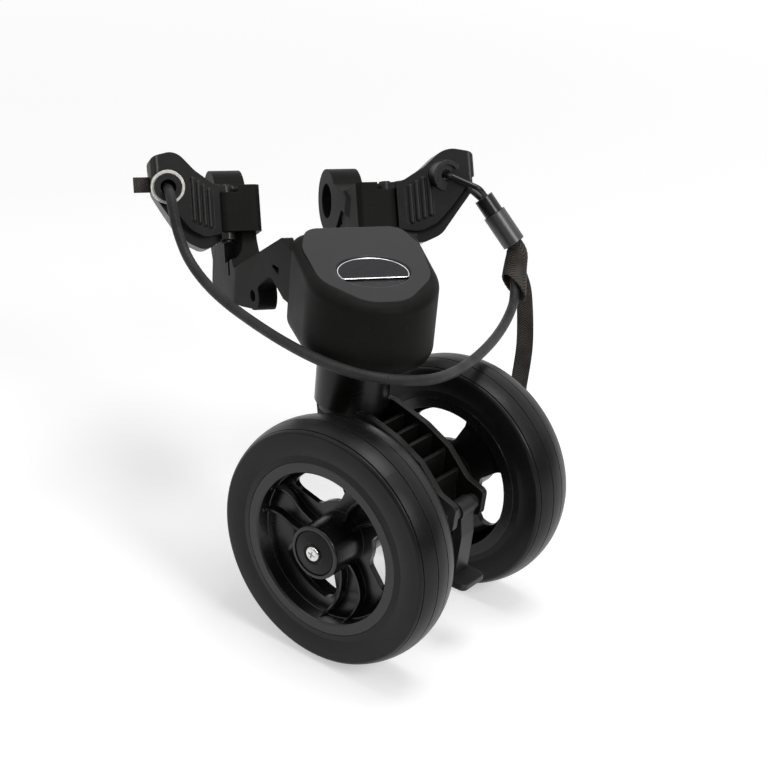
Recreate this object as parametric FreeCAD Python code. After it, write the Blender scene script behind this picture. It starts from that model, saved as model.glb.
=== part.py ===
import FreeCAD, Part
import math
import os
from FreeCAD import Placement, Rotation
from FreeCAD import Vector as V

# Front swivel unit of a golf push cart: twin wheels on a trailing leg, a head that carries the
# swivel and the two cheeks of the frame pivot, and a cradle of two folding arms with an elastic
# cord for the foot of the bag. Millimetres, +Z up, +X to the right seen from the front, +Y to the
# back. The origin is on the frame pivot's axis, midway between the cheeks.

os.makedirs("parts", exist_ok=True)

# ---- main distances ------------------------------------------------------------------------
REACH = 247.0          # frame pivot axis to swivel axis, forwards
RISE = 151.0           # frame pivot axis above the wheel axle
TRAIL = 56.0           # swivel axis to axle
SWIVEL_TURN = -53.94   # heading of the trailing leg about +Z, as the unit stands
LEAN = 30.0            # the bag's axis leans back from the swivel axis

# ---- wheels --------------------------------------------------------------------------------
WHEEL_R = 100.0        # tyre's largest radius
TYRE_W = 44.0          # tyre width
CROWN_R = 45.0         # radius of the tread's cross section
SHOULDER = 20.0        # half the tread's width
BEAD_R = 66.0          # rim's seat under the tyre
LIP_R = 70.7           # outer radius of the rim's flange
LIP_W = 4.0            # flange thickness
BARREL_R = 61.7        # inner radius of the rim
TYRE_FIT = 0.1         # between tyre and rim
GROOVES = (-19.0, -6.3, 6.3, 19.0)
GROOVE_W = 0.9
GROOVE_D = 1.1
WHEEL_HALF_TRACK = 80.6
HUB_R = 21.6
HUB_PROUD = 6.7        # hub's outer face beyond the tyre's side
HUB_BORE_R = 11.0
WEB_T = 5.0            # disc between hub and barrel
WEB_OUT = -5.0         # disc's outer face, from the wheel's middle plane
BOWL_R = 15.0          # sweep from the disc up into the barrel
SPOKE_ANGLES = (0.0, 120.0, 240.0)
NEAR_ROLL = 58.0       # where the first spoke stands, from the trailing direction
FAR_ROLL = 50.0
RIB_T = 2.4
RIB_TALL = 7.0         # ribs above the disc
RIB_SPREAD = 13.0      # degrees from a spoke's middle to each rib, at the hub
RIB_SWEEP = 17.0       # degrees that a rib turns back on its way to the barrel
OPENING_OUT_R = 56.5
OPENING_IN_R = 30.0
OPENING_HALF_DEG = 34.0

# ---- axle, hub bushes, end caps ---------------------------------------------------------------
AXLE_R = 6.0
RUN = 0.06             # running clearance on a shaft, per side
BUSH_FIT = 0.04        # between a pressed bush and its seat, drawn free
BUSH_LEN = 16.0
CAP_R = 18.3
CAP_GAP = 0.3
CAP_T = 5.0
CAP_DEPTH = 6.0        # counterbore in the hub's outer end
SCREW_R = 3.0
SCREW_HEAD_R = 6.0
SCREW_HEAD_T = 3.0
SCREW_LEN = 15.0

# ---- trailing leg --------------------------------------------------------------------------
LEG_HALF_W = 22.0
RAIL_T = 6.0
NECK_R = 30.0
NECK_LOW = 73.0        # neck's lower edge above the axle
NECK_TOP = 135.0
NECK_GAP = 0.6         # neck in the head's socket
AXLE_BOSS_R = 20.0
PEDAL_PIVOT = (114.0, 19.0)     # from the swivel axis along the leg, above the axle
PEDAL_PIN_R = 3.0
PEDAL_W = 17.0
PEDAL_FOOT_Z = -38.0
PEDAL_FOOT_FRONT = 135.0
PEDAL_FOOT_W = 30.0

# ---- swivel bolt ---------------------------------------------------------------------------
BOLT_R = 6.0
BOLT_HEAD_AF = 19.0
BOLT_HEAD_T = 7.5
NUT_T = 10.0
WASHER_R = 12.0
WASHER_T = 2.0
CROWN_BUSH_R = 10.0
CROWN_BUSH_FLANGE_R = 14.0
FLANGE_T = 2.0

# ---- head housing ---------------------------------------------------------------------------
HEAD_HALF_W = 52.0
HEAD_BACK = 34.0       # behind the swivel axis
HEAD_LOW = 124.0       # above the axle
HEAD_TOP = 200.0       # on the swivel axis
TOP_SLOPE = 11.0       # degrees, falling to the front
ARC_AHEAD = 25.0       # centre of the round front, ahead of the swivel axis
WALL = 4.0
TOP_ROUND = 9.0
LOW_ROUND = 14.0
LID_HALF_W = 47.5
LID_T = 3.0
LID_GAP = 0.25
LEDGE_W = 5.0
WEB_Z = 138.0          # underside of the floor that carries the bolt
WEB_THICK = 12.0
BADGE_Y = -28.0        # middle of the badge's hollow, from the swivel axis along the lid
BADGE_HALF_X = 29.0
BADGE_HALF_Y = 21.0
BADGE_CHORD = -8.0     # plate's straight lower edge, from the middle of the hollow
HOLLOW_ROUND = 1.5     # rolled edge of the hollow

# ---- cheeks, pivot bore ----------------------------------------------------------------------
CHEEK_IN = 41.0
CHEEK_OUT = 68.0
LUG_R = 29.0
PIVOT_R = 16.0
LOW_LUG_R = 12.0
LOW_HOLE_R = 5.0
LOW_LUG = (84.0, 130.0)         # lower lug, behind the swivel axis and above the axle

# ---- cradle arms, in the leaning frame: x out, v back, u along the bag ----------------------------
HINGE_X = 72.0
HINGE_V = -80.0
HINGE_PIN_R = 3.0
KNUCKLE_R = 11.0
KNUCKLE_GAP = 0.6
BLOCK_IN = 43.0
BLOCK_LOW = -46.0
BLOCK_TOP = 0.0
EAR_T = 6.0
EAR_GAP = 0.35
ARM_TIP_X = 139.0
ARM_T = 17.0
PAD_T = 4.0
PAD_GAP = 0.05
PAD_BOSS_GAP = 0.4
RIB_H = 2.2
LEFT_EYE = V(128, -124, -7)      # front of the boss round the eye, given as on the right side
RIGHT_EYE = V(117, -116, 0)
EYE_DEPTH = 24.0       # through boss and arm at the eye
STUB_LEN = 15.0
STUB_W = 13.0
EYE_RING_R = 13.8
EYE_RING_T = 4.5
GROMMET_R = 10.2
GROMMET_HOLE_R = 6.4
GROMMET_FIT = 0.05
HOOK_R = 2.7
HOOK_EYE_R = 4.6
SLEEVE_R = 10.2
SLEEVE_LEN = 31.0
FERRULE_R = 8.6
FERRULE_LEN = 15.0

# ---- elastic cord and straps --------------------------------------------------------------------
CORD_R = 4.2
KNOT_R = 8.6
WRAP_R = 7.4
WRAP_CLEAR = 0.05
STRAP_T = 1.8

DATUM = V(0, -REACH, -RISE)      # swivel axis at axle height


# ---- drawing helpers ------------------------------------------------------------------------
def unit(vector):
    """a copy of vector with length 1"""
    copy = V(vector)
    copy.normalize()
    return copy


def outline(points, radii):
    """closed flat wire through points, each corner rounded by its radius; 0 keeps it sharp"""
    count = len(points)
    if not isinstance(radii, (list, tuple)):
        radii = [radii] * count
    starts, mids, ends = [], [], []
    for i, corner in enumerate(points):
        back = unit(points[i - 1] - corner)
        ahead = unit(points[(i + 1) % count] - corner)
        if radii[i] == 0 or (back + ahead).Length < 1e-4:
            starts.append(corner)
            mids.append(None)
            ends.append(corner)
            continue
        half = back.getAngle(ahead) / 2
        inward = unit(back + ahead)
        centre = corner + inward * (radii[i] / math.sin(half))
        starts.append(corner + back * (radii[i] / math.tan(half)))
        mids.append(centre - inward * radii[i])
        ends.append(corner + ahead * (radii[i] / math.tan(half)))
    edges = []
    for i in range(count):
        if mids[i] is not None:
            edges.append(Part.Arc(starts[i], mids[i], ends[i]).toShape())
        following = starts[(i + 1) % count]
        if (following - ends[i]).Length > 1e-6:
            edges.append(Part.LineSegment(ends[i], following).toShape())
    return Part.Wire(edges)


def slab(points, radii, along):
    """flat outline pushed along a vector into a solid"""
    return Part.Face(outline(points, radii)).extrude(along)


def rod(radius, start, end):
    """round bar between two points"""
    span = end - start
    return Part.makeCylinder(radius, span.Length, start, unit(span))


def tube(outer, inner, start, end):
    """round tube between two points"""
    return rod(outer, start, end).cut(rod(inner, start, end))


def turned(profile):
    """closed (radius, height) profile spun about +Z"""
    wire = Part.makePolygon([V(r, 0, z) for r, z in profile + profile[:1]])
    return Part.Face(wire).revolve(V(0, 0, 0), V(0, 0, 1), 360)


def hexagon(across, height, base):
    """hexagonal prism standing on base along +Z"""
    radius = across / math.sqrt(3)
    corners = [V(radius * math.cos(math.radians(60 * i)), radius * math.sin(math.radians(60 * i)), 0)
               for i in range(6)]
    return slab([base + c for c in corners], 0, V(0, 0, height))


def moved(shape, placement):
    """copy of shape carried by a placement"""
    copy = shape.copy()
    copy.Placement = placement.multiply(copy.Placement)
    return copy


def mirrored_x(shape):
    """copy of shape reflected in the plane x = 0"""
    return shape.mirror(V(0, 0, 0), V(1, 0, 0))


def save(name, *solids):
    """write one sub-part"""
    shape = solids[0] if len(solids) == 1 else Part.makeCompound(list(solids))
    shape.exportStep("parts/" + name + ".step")
    print(name, len(shape.Solids), round(shape.Volume), shape.isValid())


# leg frame: x along the trail, y along the axle, z up, origin on the swivel axis at axle height
LEG = Placement(DATUM, Rotation(V(0, 0, 1), SWIVEL_TURN))
# leaning frame of the cradle: x right, y back across the bag, z up along the bag
CRADLE = Placement(V(0, 0, 0), Rotation(V(1, 0, 0), -LEAN))


# ---- wheels ---------------------------------------------------------------------------------
def crown(z):
    """tread radius at a distance from the wheel's middle plane"""
    return WHEEL_R - CROWN_R + math.sqrt(CROWN_R ** 2 - z ** 2)


def tyre():
    """solid rubber tyre with four grooves round the tread, axis +Z"""
    half = TYRE_W / 2
    bead = BEAD_R + TYRE_FIT
    seat = LIP_R + TYRE_FIT
    inset = half - LIP_W - TYRE_FIT

    def at(r, z):
        return V(r, 0, z)

    edges = []

    def line(a, b):
        edges.append(Part.LineSegment(a, b).toShape())

    def arc(a, m, b):
        edges.append(Part.Arc(a, m, b).toShape())

    low = at(crown(SHOULDER), -SHOULDER)
    side_low = at(crown(SHOULDER) - 3.6, -half)
    arc(side_low, at(crown(SHOULDER) - 1.0, -half + 0.75), low)
    z = -SHOULDER
    for middle in GROOVES:
        a, b = middle - GROOVE_W / 2, middle + GROOVE_W / 2
        arc(at(crown(z), z), at(crown((z + a) / 2), (z + a) / 2), at(crown(a), a))
        line(at(crown(a), a), at(crown(middle) - GROOVE_D, a + 0.15))
        line(at(crown(middle) - GROOVE_D, a + 0.15), at(crown(middle) - GROOVE_D, b - 0.15))
        line(at(crown(middle) - GROOVE_D, b - 0.15), at(crown(b), b))
        z = b
    arc(at(crown(z), z), at(crown((z + SHOULDER) / 2), (z + SHOULDER) / 2), at(crown(SHOULDER), SHOULDER))
    side_top = at(crown(SHOULDER) - 3.6, half)
    arc(at(crown(SHOULDER), SHOULDER), at(crown(SHOULDER) - 1.0, half - 0.75), side_top)
    flank = at(seat + 5, half - 0.9)
    arc(side_top, at((side_top.x + seat + 5) / 2, half + 0.2), flank)
    line(flank, at(seat, half - 0.2))
    line(at(seat, half - 0.2), at(seat, inset))
    line(at(seat, inset), at(bead, inset))
    line(at(bead, inset), at(bead, -inset))
    line(at(bead, -inset), at(seat, -inset))
    line(at(seat, -inset), at(seat, -half + 0.2))
    line(at(seat, -half + 0.2), at(seat + 5, -half + 0.9))
    arc(at(seat + 5, -half + 0.9), at((side_low.x + seat + 5) / 2, -half - 0.2), side_low)
    return Part.Face(Part.Wire(edges)).revolve(V(0, 0, 0), V(0, 0, 1), 360)


def wheel_opening(middle_deg):
    """rounded window between two spokes, as a cutter through the web"""
    half = math.radians(OPENING_HALF_DEG)
    mid = math.radians(middle_deg)
    low = WEB_OUT - WEB_T - 2
    tall = BOWL_R + 3

    def polar(r, a):
        return V(r * math.cos(mid + a), r * math.sin(mid + a), low)

    inner_half = half * 0.62
    wire = Part.Wire([
        Part.Arc(polar(OPENING_OUT_R, -half), polar(OPENING_OUT_R, 0), polar(OPENING_OUT_R, half)).toShape(),
        Part.LineSegment(polar(OPENING_OUT_R, half), polar(OPENING_IN_R, inner_half)).toShape(),
        Part.Arc(polar(OPENING_IN_R, inner_half), polar(OPENING_IN_R, 0),
                 polar(OPENING_IN_R, -inner_half)).toShape(),
        Part.LineSegment(polar(OPENING_IN_R, -inner_half), polar(OPENING_OUT_R, -half)).toShape()])
    solid = Part.Face(wire).extrude(V(0, 0, tall))
    upright = [e for e in solid.Edges if abs(e.tangentAt(e.FirstParameter).z) > 0.99]
    return solid.makeFillet(7.0, upright)


def spoke_rib(angle, spread):
    """thin upright rib that curves over the bowl from the hub to the barrel"""
    start, end = math.radians(angle + spread), math.radians(angle + spread * 0.8 - RIB_SWEEP)
    middle = math.radians(angle + spread * 1.05 - RIB_SWEEP * 0.22)
    low = WEB_OUT - 1

    def polar(r, a):
        return V(r * math.cos(a), r * math.sin(a), low)

    inner, outer = HUB_R - 2, BARREL_R + 1
    mid_r = (inner + outer) / 2
    half = RIB_T / 2
    left = Part.Arc(polar(inner, start + half / inner), polar(mid_r, middle + half / mid_r),
                    polar(outer, end + half / outer))
    right = Part.Arc(polar(outer, end - half / outer), polar(mid_r, middle - half / mid_r),
                     polar(inner, start - half / inner))
    ends = [Part.LineSegment(left.EndPoint, right.StartPoint), Part.LineSegment(right.EndPoint, left.StartPoint)]
    wire = Part.Wire([left.toShape(), ends[0].toShape(), right.toShape(), ends[1].toShape()])
    return Part.Face(wire).extrude(V(0, 0, 60))


def bowl_wire(lift):
    """half section of the bowl's surface: flat near the hub, swept up into the barrel"""
    flat = WEB_OUT + lift
    sweep = BARREL_R - 0.6 - BOWL_R
    turn = BOWL_R * (1 - math.sqrt(0.5))
    return [Part.LineSegment(V(0, 0, flat), V(sweep, 0, flat)),
            Part.Arc(V(sweep, 0, flat), V(BARREL_R - 0.6 - turn, 0, flat + turn), V(BARREL_R - 0.6, 0, flat + BOWL_R)),
            Part.LineSegment(V(BARREL_R - 0.6, 0, flat + BOWL_R), V(BARREL_R + 3, 0, flat + BOWL_R))]


def under_bowl(lift, low):
    """solid of revolution between a level and the bowl's surface"""
    run = bowl_wire(lift)
    edges = [e.toShape() for e in run]
    corners = [V(BARREL_R + 3, 0, WEB_OUT + lift + BOWL_R), V(BARREL_R + 3, 0, low), V(0, 0, low), V(0, 0, WEB_OUT + lift)]
    for start, end in zip(corners, corners[1:]):
        edges.append(Part.LineSegment(start, end).toShape())
    return Part.Face(Part.Wire(edges)).revolve(V(0, 0, 0), V(0, 0, 1), 360)


def rim(hub_inner_end):
    """wheel body: barrel with two flanges, bowl-shaped three-spoke web and a long hub, outer face +Z"""
    half = TYRE_W / 2
    barrel = turned([(BARREL_R, -half), (LIP_R, -half), (LIP_R, LIP_W - half), (BEAD_R, LIP_W - half),
                     (BEAD_R, half - LIP_W), (LIP_R, half - LIP_W), (LIP_R, half - 0.6), (LIP_R - 0.6, half),
                     (BARREL_R + 1.2, half), (BARREL_R, half - 1.2)])
    envelope = Part.makeCylinder(BARREL_R + 1, TYRE_W, V(0, 0, -half))
    back = under_bowl(-WEB_T, -half - 1)
    web = under_bowl(0, WEB_OUT - WEB_T).cut(back).common(envelope)
    for angle in SPOKE_ANGLES:
        web = web.cut(wheel_opening(angle + 60))
    hub_face = half + HUB_PROUD
    hub = Part.makeCylinder(HUB_R, hub_face - hub_inner_end, V(0, 0, hub_inner_end))
    hub = hub.makeFillet(1.5, [e for e in hub.Edges if abs(e.BoundBox.ZMin - e.BoundBox.ZMax) < 1e-6])
    body = barrel.fuse([web, hub])
    rib_room = under_bowl(RIB_TALL, WEB_OUT - 1).cut(under_bowl(-1, WEB_OUT - 2)).common(envelope)
    for angle in SPOKE_ANGLES:
        for spread in (-RIB_SPREAD, RIB_SPREAD):
            body = body.fuse(spoke_rib(angle, spread).common(rib_room))
    body = body.cut(Part.makeCylinder(HUB_BORE_R, 2 * hub_face - 2 * hub_inner_end, V(0, 0, hub_inner_end - 1)))
    pocket = Part.makeCylinder(CAP_R + CAP_GAP, CAP_DEPTH + 1, V(0, 0, hub_face - CAP_DEPTH))
    return body.cut(pocket).removeSplitter()


def hub_bushes(hub_inner_end):
    """two plain bushes, one in each end of the hub's bore"""
    hub_floor = TYRE_W / 2 + HUB_PROUD - CAP_DEPTH
    outer = HUB_BORE_R - BUSH_FIT
    return [tube(outer, AXLE_R + RUN, V(0, 0, z), V(0, 0, z + BUSH_LEN))
            for z in (hub_inner_end, hub_floor - BUSH_LEN)]


def end_cap():
    """domed cap that the screw clamps on the axle's end"""
    low = TYRE_W / 2 + HUB_PROUD - CAP_DEPTH + CAP_GAP
    top = low + CAP_T
    cap = turned([(0, low), (CAP_R, low), (CAP_R, top - 0.4), (CAP_R - 0.8, top + 0.2),
                  (SCREW_HEAD_R + 3, top + 2.0), (SCREW_HEAD_R + 0.8, top + 0.6), (0, top + 0.6)])
    return cap.cut(Part.makeCylinder(SCREW_R + 0.2, 20, V(0, 0, low - 1)))


def cap_screw():
    """pan head screw with a cross recess, in the axle's end"""
    low = TYRE_W / 2 + HUB_PROUD - CAP_DEPTH + CAP_GAP
    seat = low + CAP_T + 0.6
    head = Part.makeCylinder(SCREW_HEAD_R, SCREW_HEAD_T, V(0, 0, seat))
    rim_edge = [e for e in head.Edges if abs(e.BoundBox.ZMin - seat - SCREW_HEAD_T) < 1e-4
                and abs(e.BoundBox.ZMax - seat - SCREW_HEAD_T) < 1e-4]
    head = head.makeFillet(SCREW_HEAD_T * 0.6, rim_edge)
    for turn in (0, 90):
        slot = Part.makeBox(6.4, 1.3, 2.0, V(-3.2, -0.65, seat + SCREW_HEAD_T - 1.8))
        head = head.cut(moved(slot, Placement(V(0, 0, 0), Rotation(V(0, 0, 1), turn + 20))))
    shank = Part.makeCylinder(SCREW_R, SCREW_LEN + 0.5, V(0, 0, seat - SCREW_LEN))
    return head.fuse(shank).removeSplitter()


def wheel_place(side, roll):
    """a wheel's frame: +Z out of its outer face, first spoke at the roll angle"""
    outward = Rotation(V(1, 0, 0), -90 if side > 0 else 90)
    spin = Rotation(V(0, 0, 1), -roll if side > 0 else roll)
    local = Placement(V(TRAIL, side * WHEEL_HALF_TRACK, 0), outward.multiply(spin))
    return LEG.multiply(local)


HUB_INNER_END = -(WHEEL_HALF_TRACK - LEG_HALF_W - CAP_GAP)
for wheel_name, wheel_side, wheel_roll in (("near", -1, NEAR_ROLL), ("far", 1, FAR_ROLL)):
    spot = wheel_place(wheel_side, wheel_roll)
    save(wheel_name + "_tyre", moved(tyre(), spot))
    save(wheel_name + "_rim", moved(rim(HUB_INNER_END), spot))
    save(wheel_name + "_hub_bushes", *[moved(b, spot) for b in hub_bushes(HUB_INNER_END)])
    save(wheel_name + "_end_cap", moved(end_cap(), spot))
    save(wheel_name + "_cap_screw", moved(cap_screw(), spot))


# ---- axle -------------------------------------------------------------------------------------
axle_half = WHEEL_HALF_TRACK + TYRE_W / 2 + HUB_PROUD - CAP_DEPTH + CAP_GAP
axle = rod(AXLE_R, V(TRAIL, -axle_half, 0), V(TRAIL, axle_half, 0))
for end in (-1, 1):
    axle = axle.cut(rod(SCREW_R + BUSH_FIT, V(TRAIL, end * (axle_half - SCREW_LEN), 0),
                        V(TRAIL, end * (axle_half + 1), 0)))
save("axle", moved(axle, LEG))


# ---- trailing leg -----------------------------------------------------------------------------
def leg_profile(y):
    """side outline of the leg's rails at a distance along the axle"""
    return [V(-19, y, NECK_LOW + 2), V(-15, y, 54), V(20, y, -4), V(TRAIL - 16, y, -18),
            V(TRAIL + 16, y, -18), V(98, y, 1), V(108, y, 7), V(122, y, 8), V(123, y, 30),
            V(106, y, 36), V(86, y, 56), V(62, y, 68), V(30, y, NECK_LOW + 4)]


LEG_ROUNDS = [2, 10, 14, 15, 15, 10, 4, 5, 5, 8, 14, 20, 2]
rails = [slab(leg_profile(y), LEG_ROUNDS, V(0, RAIL_T, 0)) for y in (-LEG_HALF_W, LEG_HALF_W - RAIL_T)]
inner_w = LEG_HALF_W - RAIL_T
floor_web = slab([V(-24, -inner_w, NECK_LOW + 1), V(-18, -inner_w, 54), V(21, -inner_w, -1),
                  V(TRAIL - 14, -inner_w, -13), V(TRAIL - 14, -inner_w, -8), V(26, -inner_w, 4),
                  V(-8, -inner_w, 52), V(0, -inner_w, NECK_LOW + 1)], [1, 8, 12, 0, 0, 10, 8, 1],
                 V(0, 2 * inner_w, 0))
neck = Part.makeCylinder(NECK_R, NECK_TOP - NECK_LOW, V(0, 0, NECK_LOW))
flange = Part.makeCylinder(NECK_R - 3, 6, V(0, 0, NECK_LOW - 5.5))
boss = rod(AXLE_BOSS_R, V(TRAIL, -LEG_HALF_W, 0), V(TRAIL, LEG_HALF_W, 0))
leg = neck.fuse([flange, boss, floor_web] + rails)
for rib_s, rib_low, rib_high in ((38, 30, 69), (52, 22, 65), (66, 22, 61), (80, 8, 53), (94, 4, 41)):
    leg = leg.fuse(Part.makeBox(3.5, 2 * inner_w, rib_high - rib_low, V(rib_s, -inner_w, rib_low)))
leg = leg.cut(rod(AXLE_R + BUSH_FIT, V(TRAIL, -60, 0), V(TRAIL, 60, 0)))
pivot = V(PEDAL_PIVOT[0], 0, PEDAL_PIVOT[1])
leg = leg.cut(rod(PEDAL_PIN_R + BUSH_FIT, pivot - V(0, 40, 0), pivot + V(0, 40, 0)))
crown_low = NECK_LOW + NUT_T + WASHER_T + 9
pocket = Part.makeCylinder(16, crown_low - NECK_LOW + 20, V(0, 0, NECK_LOW - 20))
bore = Part.makeCylinder(CROWN_BUSH_R + BUSH_FIT, NECK_TOP - crown_low + 2, V(0, 0, crown_low - 1))
seat_top = Part.makeCylinder(CROWN_BUSH_FLANGE_R + 0.2, FLANGE_T + 1, V(0, 0, NECK_TOP - FLANGE_T))
leg = leg.cut(pocket).cut(bore).cut(seat_top).removeSplitter()
save("trailing_leg", moved(leg, LEG))

lower_bush = tube(CROWN_BUSH_R, BOLT_R + RUN, V(0, 0, crown_low), V(0, 0, crown_low + 14)).fuse(
    tube(CROWN_BUSH_FLANGE_R, BOLT_R + RUN, V(0, 0, crown_low - FLANGE_T), V(0, 0, crown_low)))
upper_bush = tube(CROWN_BUSH_R, BOLT_R + RUN, V(0, 0, NECK_TOP - 16), V(0, 0, NECK_TOP - FLANGE_T)).fuse(
    tube(CROWN_BUSH_FLANGE_R, BOLT_R + RUN, V(0, 0, NECK_TOP - FLANGE_T), V(0, 0, NECK_TOP)))
save("swivel_bush_lower", moved(lower_bush.removeSplitter(), LEG))
save("swivel_bush_upper", moved(upper_bush.removeSplitter(), LEG))


# ---- foot brake -------------------------------------------------------------------------------
pedal_hub = rod(8, pivot - V(0, PEDAL_W / 2, 0), pivot + V(0, PEDAL_W / 2, 0))
stem_x, stem_z = PEDAL_PIVOT
stem = slab([V(stem_x - 4, -PEDAL_W / 2, stem_z), V(stem_x + 6, -PEDAL_W / 2, stem_z),
             V(stem_x + 9, -PEDAL_W / 2, stem_z - 20), V(stem_x + 7, -PEDAL_W / 2, PEDAL_FOOT_Z),
             V(stem_x - 1, -PEDAL_W / 2, PEDAL_FOOT_Z), V(stem_x + 1, -PEDAL_W / 2, stem_z - 20)],
            [0, 0, 12, 0, 0, 12], V(0, PEDAL_W, 0))
foot = slab([V(stem_x - 5, -PEDAL_FOOT_W / 2, 0), V(PEDAL_FOOT_FRONT, -PEDAL_FOOT_W / 2, 0),
             V(PEDAL_FOOT_FRONT, PEDAL_FOOT_W / 2, 0), V(stem_x - 5, PEDAL_FOOT_W / 2, 0)],
            [3, 5, 5, 3], V(0, 0, 5.5)).translated(V(0, 0, PEDAL_FOOT_Z - 5.5))
foot = foot.makeFillet(1.2, [e for e in foot.Edges if e.BoundBox.ZLength < 1e-6])
pedal = pedal_hub.fuse([stem, foot])
pedal = pedal.cut(rod(PEDAL_PIN_R + RUN, pivot - V(0, 40, 0), pivot + V(0, 40, 0)))
save("brake_pedal", moved(pedal.removeSplitter(), LEG))
pedal_pin = rod(PEDAL_PIN_R, pivot - V(0, LEG_HALF_W + 1.5, 0), pivot + V(0, LEG_HALF_W + 1.5, 0))
spacers = [tube(6.5, PEDAL_PIN_R + RUN, pivot + V(0, a, 0), pivot + V(0, b, 0))
           for a, b in ((-inner_w + 0.1, -PEDAL_W / 2 - 0.3), (PEDAL_W / 2 + 0.3, inner_w - 0.1))]
save("brake_pin", moved(pedal_pin, LEG))
save("brake_spacers", *[moved(s, LEG) for s in spacers])


# ---- fixed knuckles of the arm hinges, part of the head's moulding ----------------------------------
def lean(x, v, u):
    """a point in the cradle's own frame"""
    return V(x, v, u)


def hinge_block():
    """fixed knuckle of the right arm's hinge, stepped on top for the arm's upper ear"""
    low = BLOCK_LOW + EAR_T + EAR_GAP
    front = HINGE_V - KNUCKLE_R
    body = slab([lean(BLOCK_IN, -37, low), lean(BLOCK_IN, front + 2, low), lean(BLOCK_IN + 4, front, low),
                 lean(HINGE_X, front, low), lean(HINGE_X, -37, low)], [1, 3, 2, 0, 0], V(0, 0, BLOCK_TOP - low))
    knuckle = Part.makeCylinder(KNUCKLE_R, BLOCK_TOP - low, lean(HINGE_X, HINGE_V, low))
    foot = slab([lean(BLOCK_IN, -30, -68), lean(BLOCK_IN, -60, -68), lean(59, -76, -68), lean(59, -30, -68)], 0,
                V(0, 0, 40))
    body = body.fuse([knuckle, foot])
    step = Part.makeCylinder(KNUCKLE_R + 4, EAR_T + EAR_GAP + 1, lean(HINGE_X, HINGE_V, BLOCK_TOP - EAR_T - EAR_GAP))
    body = body.cut(step)
    body = body.cut(Part.makeCylinder(HINGE_PIN_R + BUSH_FIT, 90, lean(HINGE_X, HINGE_V, low - 20)))
    return body.removeSplitter()


# ---- head: D-shaped cup, two wings that run back to the cheeks ------------------------------------
def at(x, y, z):
    """a point given from the swivel axis at axle height"""
    return V(x, y, z) + DATUM


def dee(half_width, back, low, height):
    """upright prism with a straight back and a round front, round the swivel axis"""
    centre_y = -ARC_AHEAD
    corner = 14.0
    a = [at(-half_width, centre_y, low), at(0, centre_y - half_width, low), at(half_width, centre_y, low)]
    wire = Part.Wire([
        Part.Arc(a[0], a[1], a[2]).toShape(),
        Part.LineSegment(a[2], at(half_width, back - corner, low)).toShape(),
        Part.Arc(at(half_width, back - corner, low),
                 at(half_width - corner * (1 - math.sqrt(0.5)), back - corner * (1 - math.sqrt(0.5)), low),
                 at(half_width - corner, back, low)).toShape(),
        Part.LineSegment(at(half_width - corner, back, low), at(corner - half_width, back, low)).toShape(),
        Part.Arc(at(corner - half_width, back, low),
                 at(-half_width + corner * (1 - math.sqrt(0.5)), back - corner * (1 - math.sqrt(0.5)), low),
                 at(-half_width, back - corner, low)).toShape(),
        Part.LineSegment(at(-half_width, back - corner, low), a[0]).toShape()])
    return Part.Face(wire).extrude(V(0, 0, height))


SLOPE = Placement(at(0, 0, HEAD_TOP), Rotation(V(1, 0, 0), TOP_SLOPE))


def on_top(points, radii, depth, lift=0.0):
    """prism under the sloping top, outline given on the top's own plane"""
    shape = slab([V(x, y, lift) for x, y in points], radii, V(0, 0, -depth))
    return moved(shape, SLOPE)


def lid_outline(grow):
    """egg-shaped lid: broad at the back, narrowing to the front"""
    w = LID_HALF_W + grow
    return [(-w, 8), (-w + 9, 35 + grow), (w - 9, 35 + grow), (w, 8), (w - 3, -38 - grow),
            (16, -69 - grow), (-16, -69 - grow), (-w + 3, -38 - grow)]


LID_ROUNDS = [30, 14, 14, 30, 30, 24, 24, 30]

cup = dee(HEAD_HALF_W, HEAD_BACK, HEAD_LOW, 2 * (HEAD_TOP - HEAD_LOW))
above = moved(Part.makeBox(400, 400, 300, V(-200, -200, 0)), SLOPE)
cup = cup.cut(above)
top_edges = [e for e in cup.Edges if e.BoundBox.ZMin > DATUM.z + HEAD_LOW + 30]
low_edges = [e for e in cup.Edges if e.BoundBox.ZMax < DATUM.z + HEAD_LOW + 0.1]
cup = cup.makeFillet(TOP_ROUND, top_edges)
low_edges = [e for e in cup.Edges if e.BoundBox.ZMax < DATUM.z + HEAD_LOW + 0.1]
cup = cup.makeFillet(LOW_ROUND, low_edges)


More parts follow.
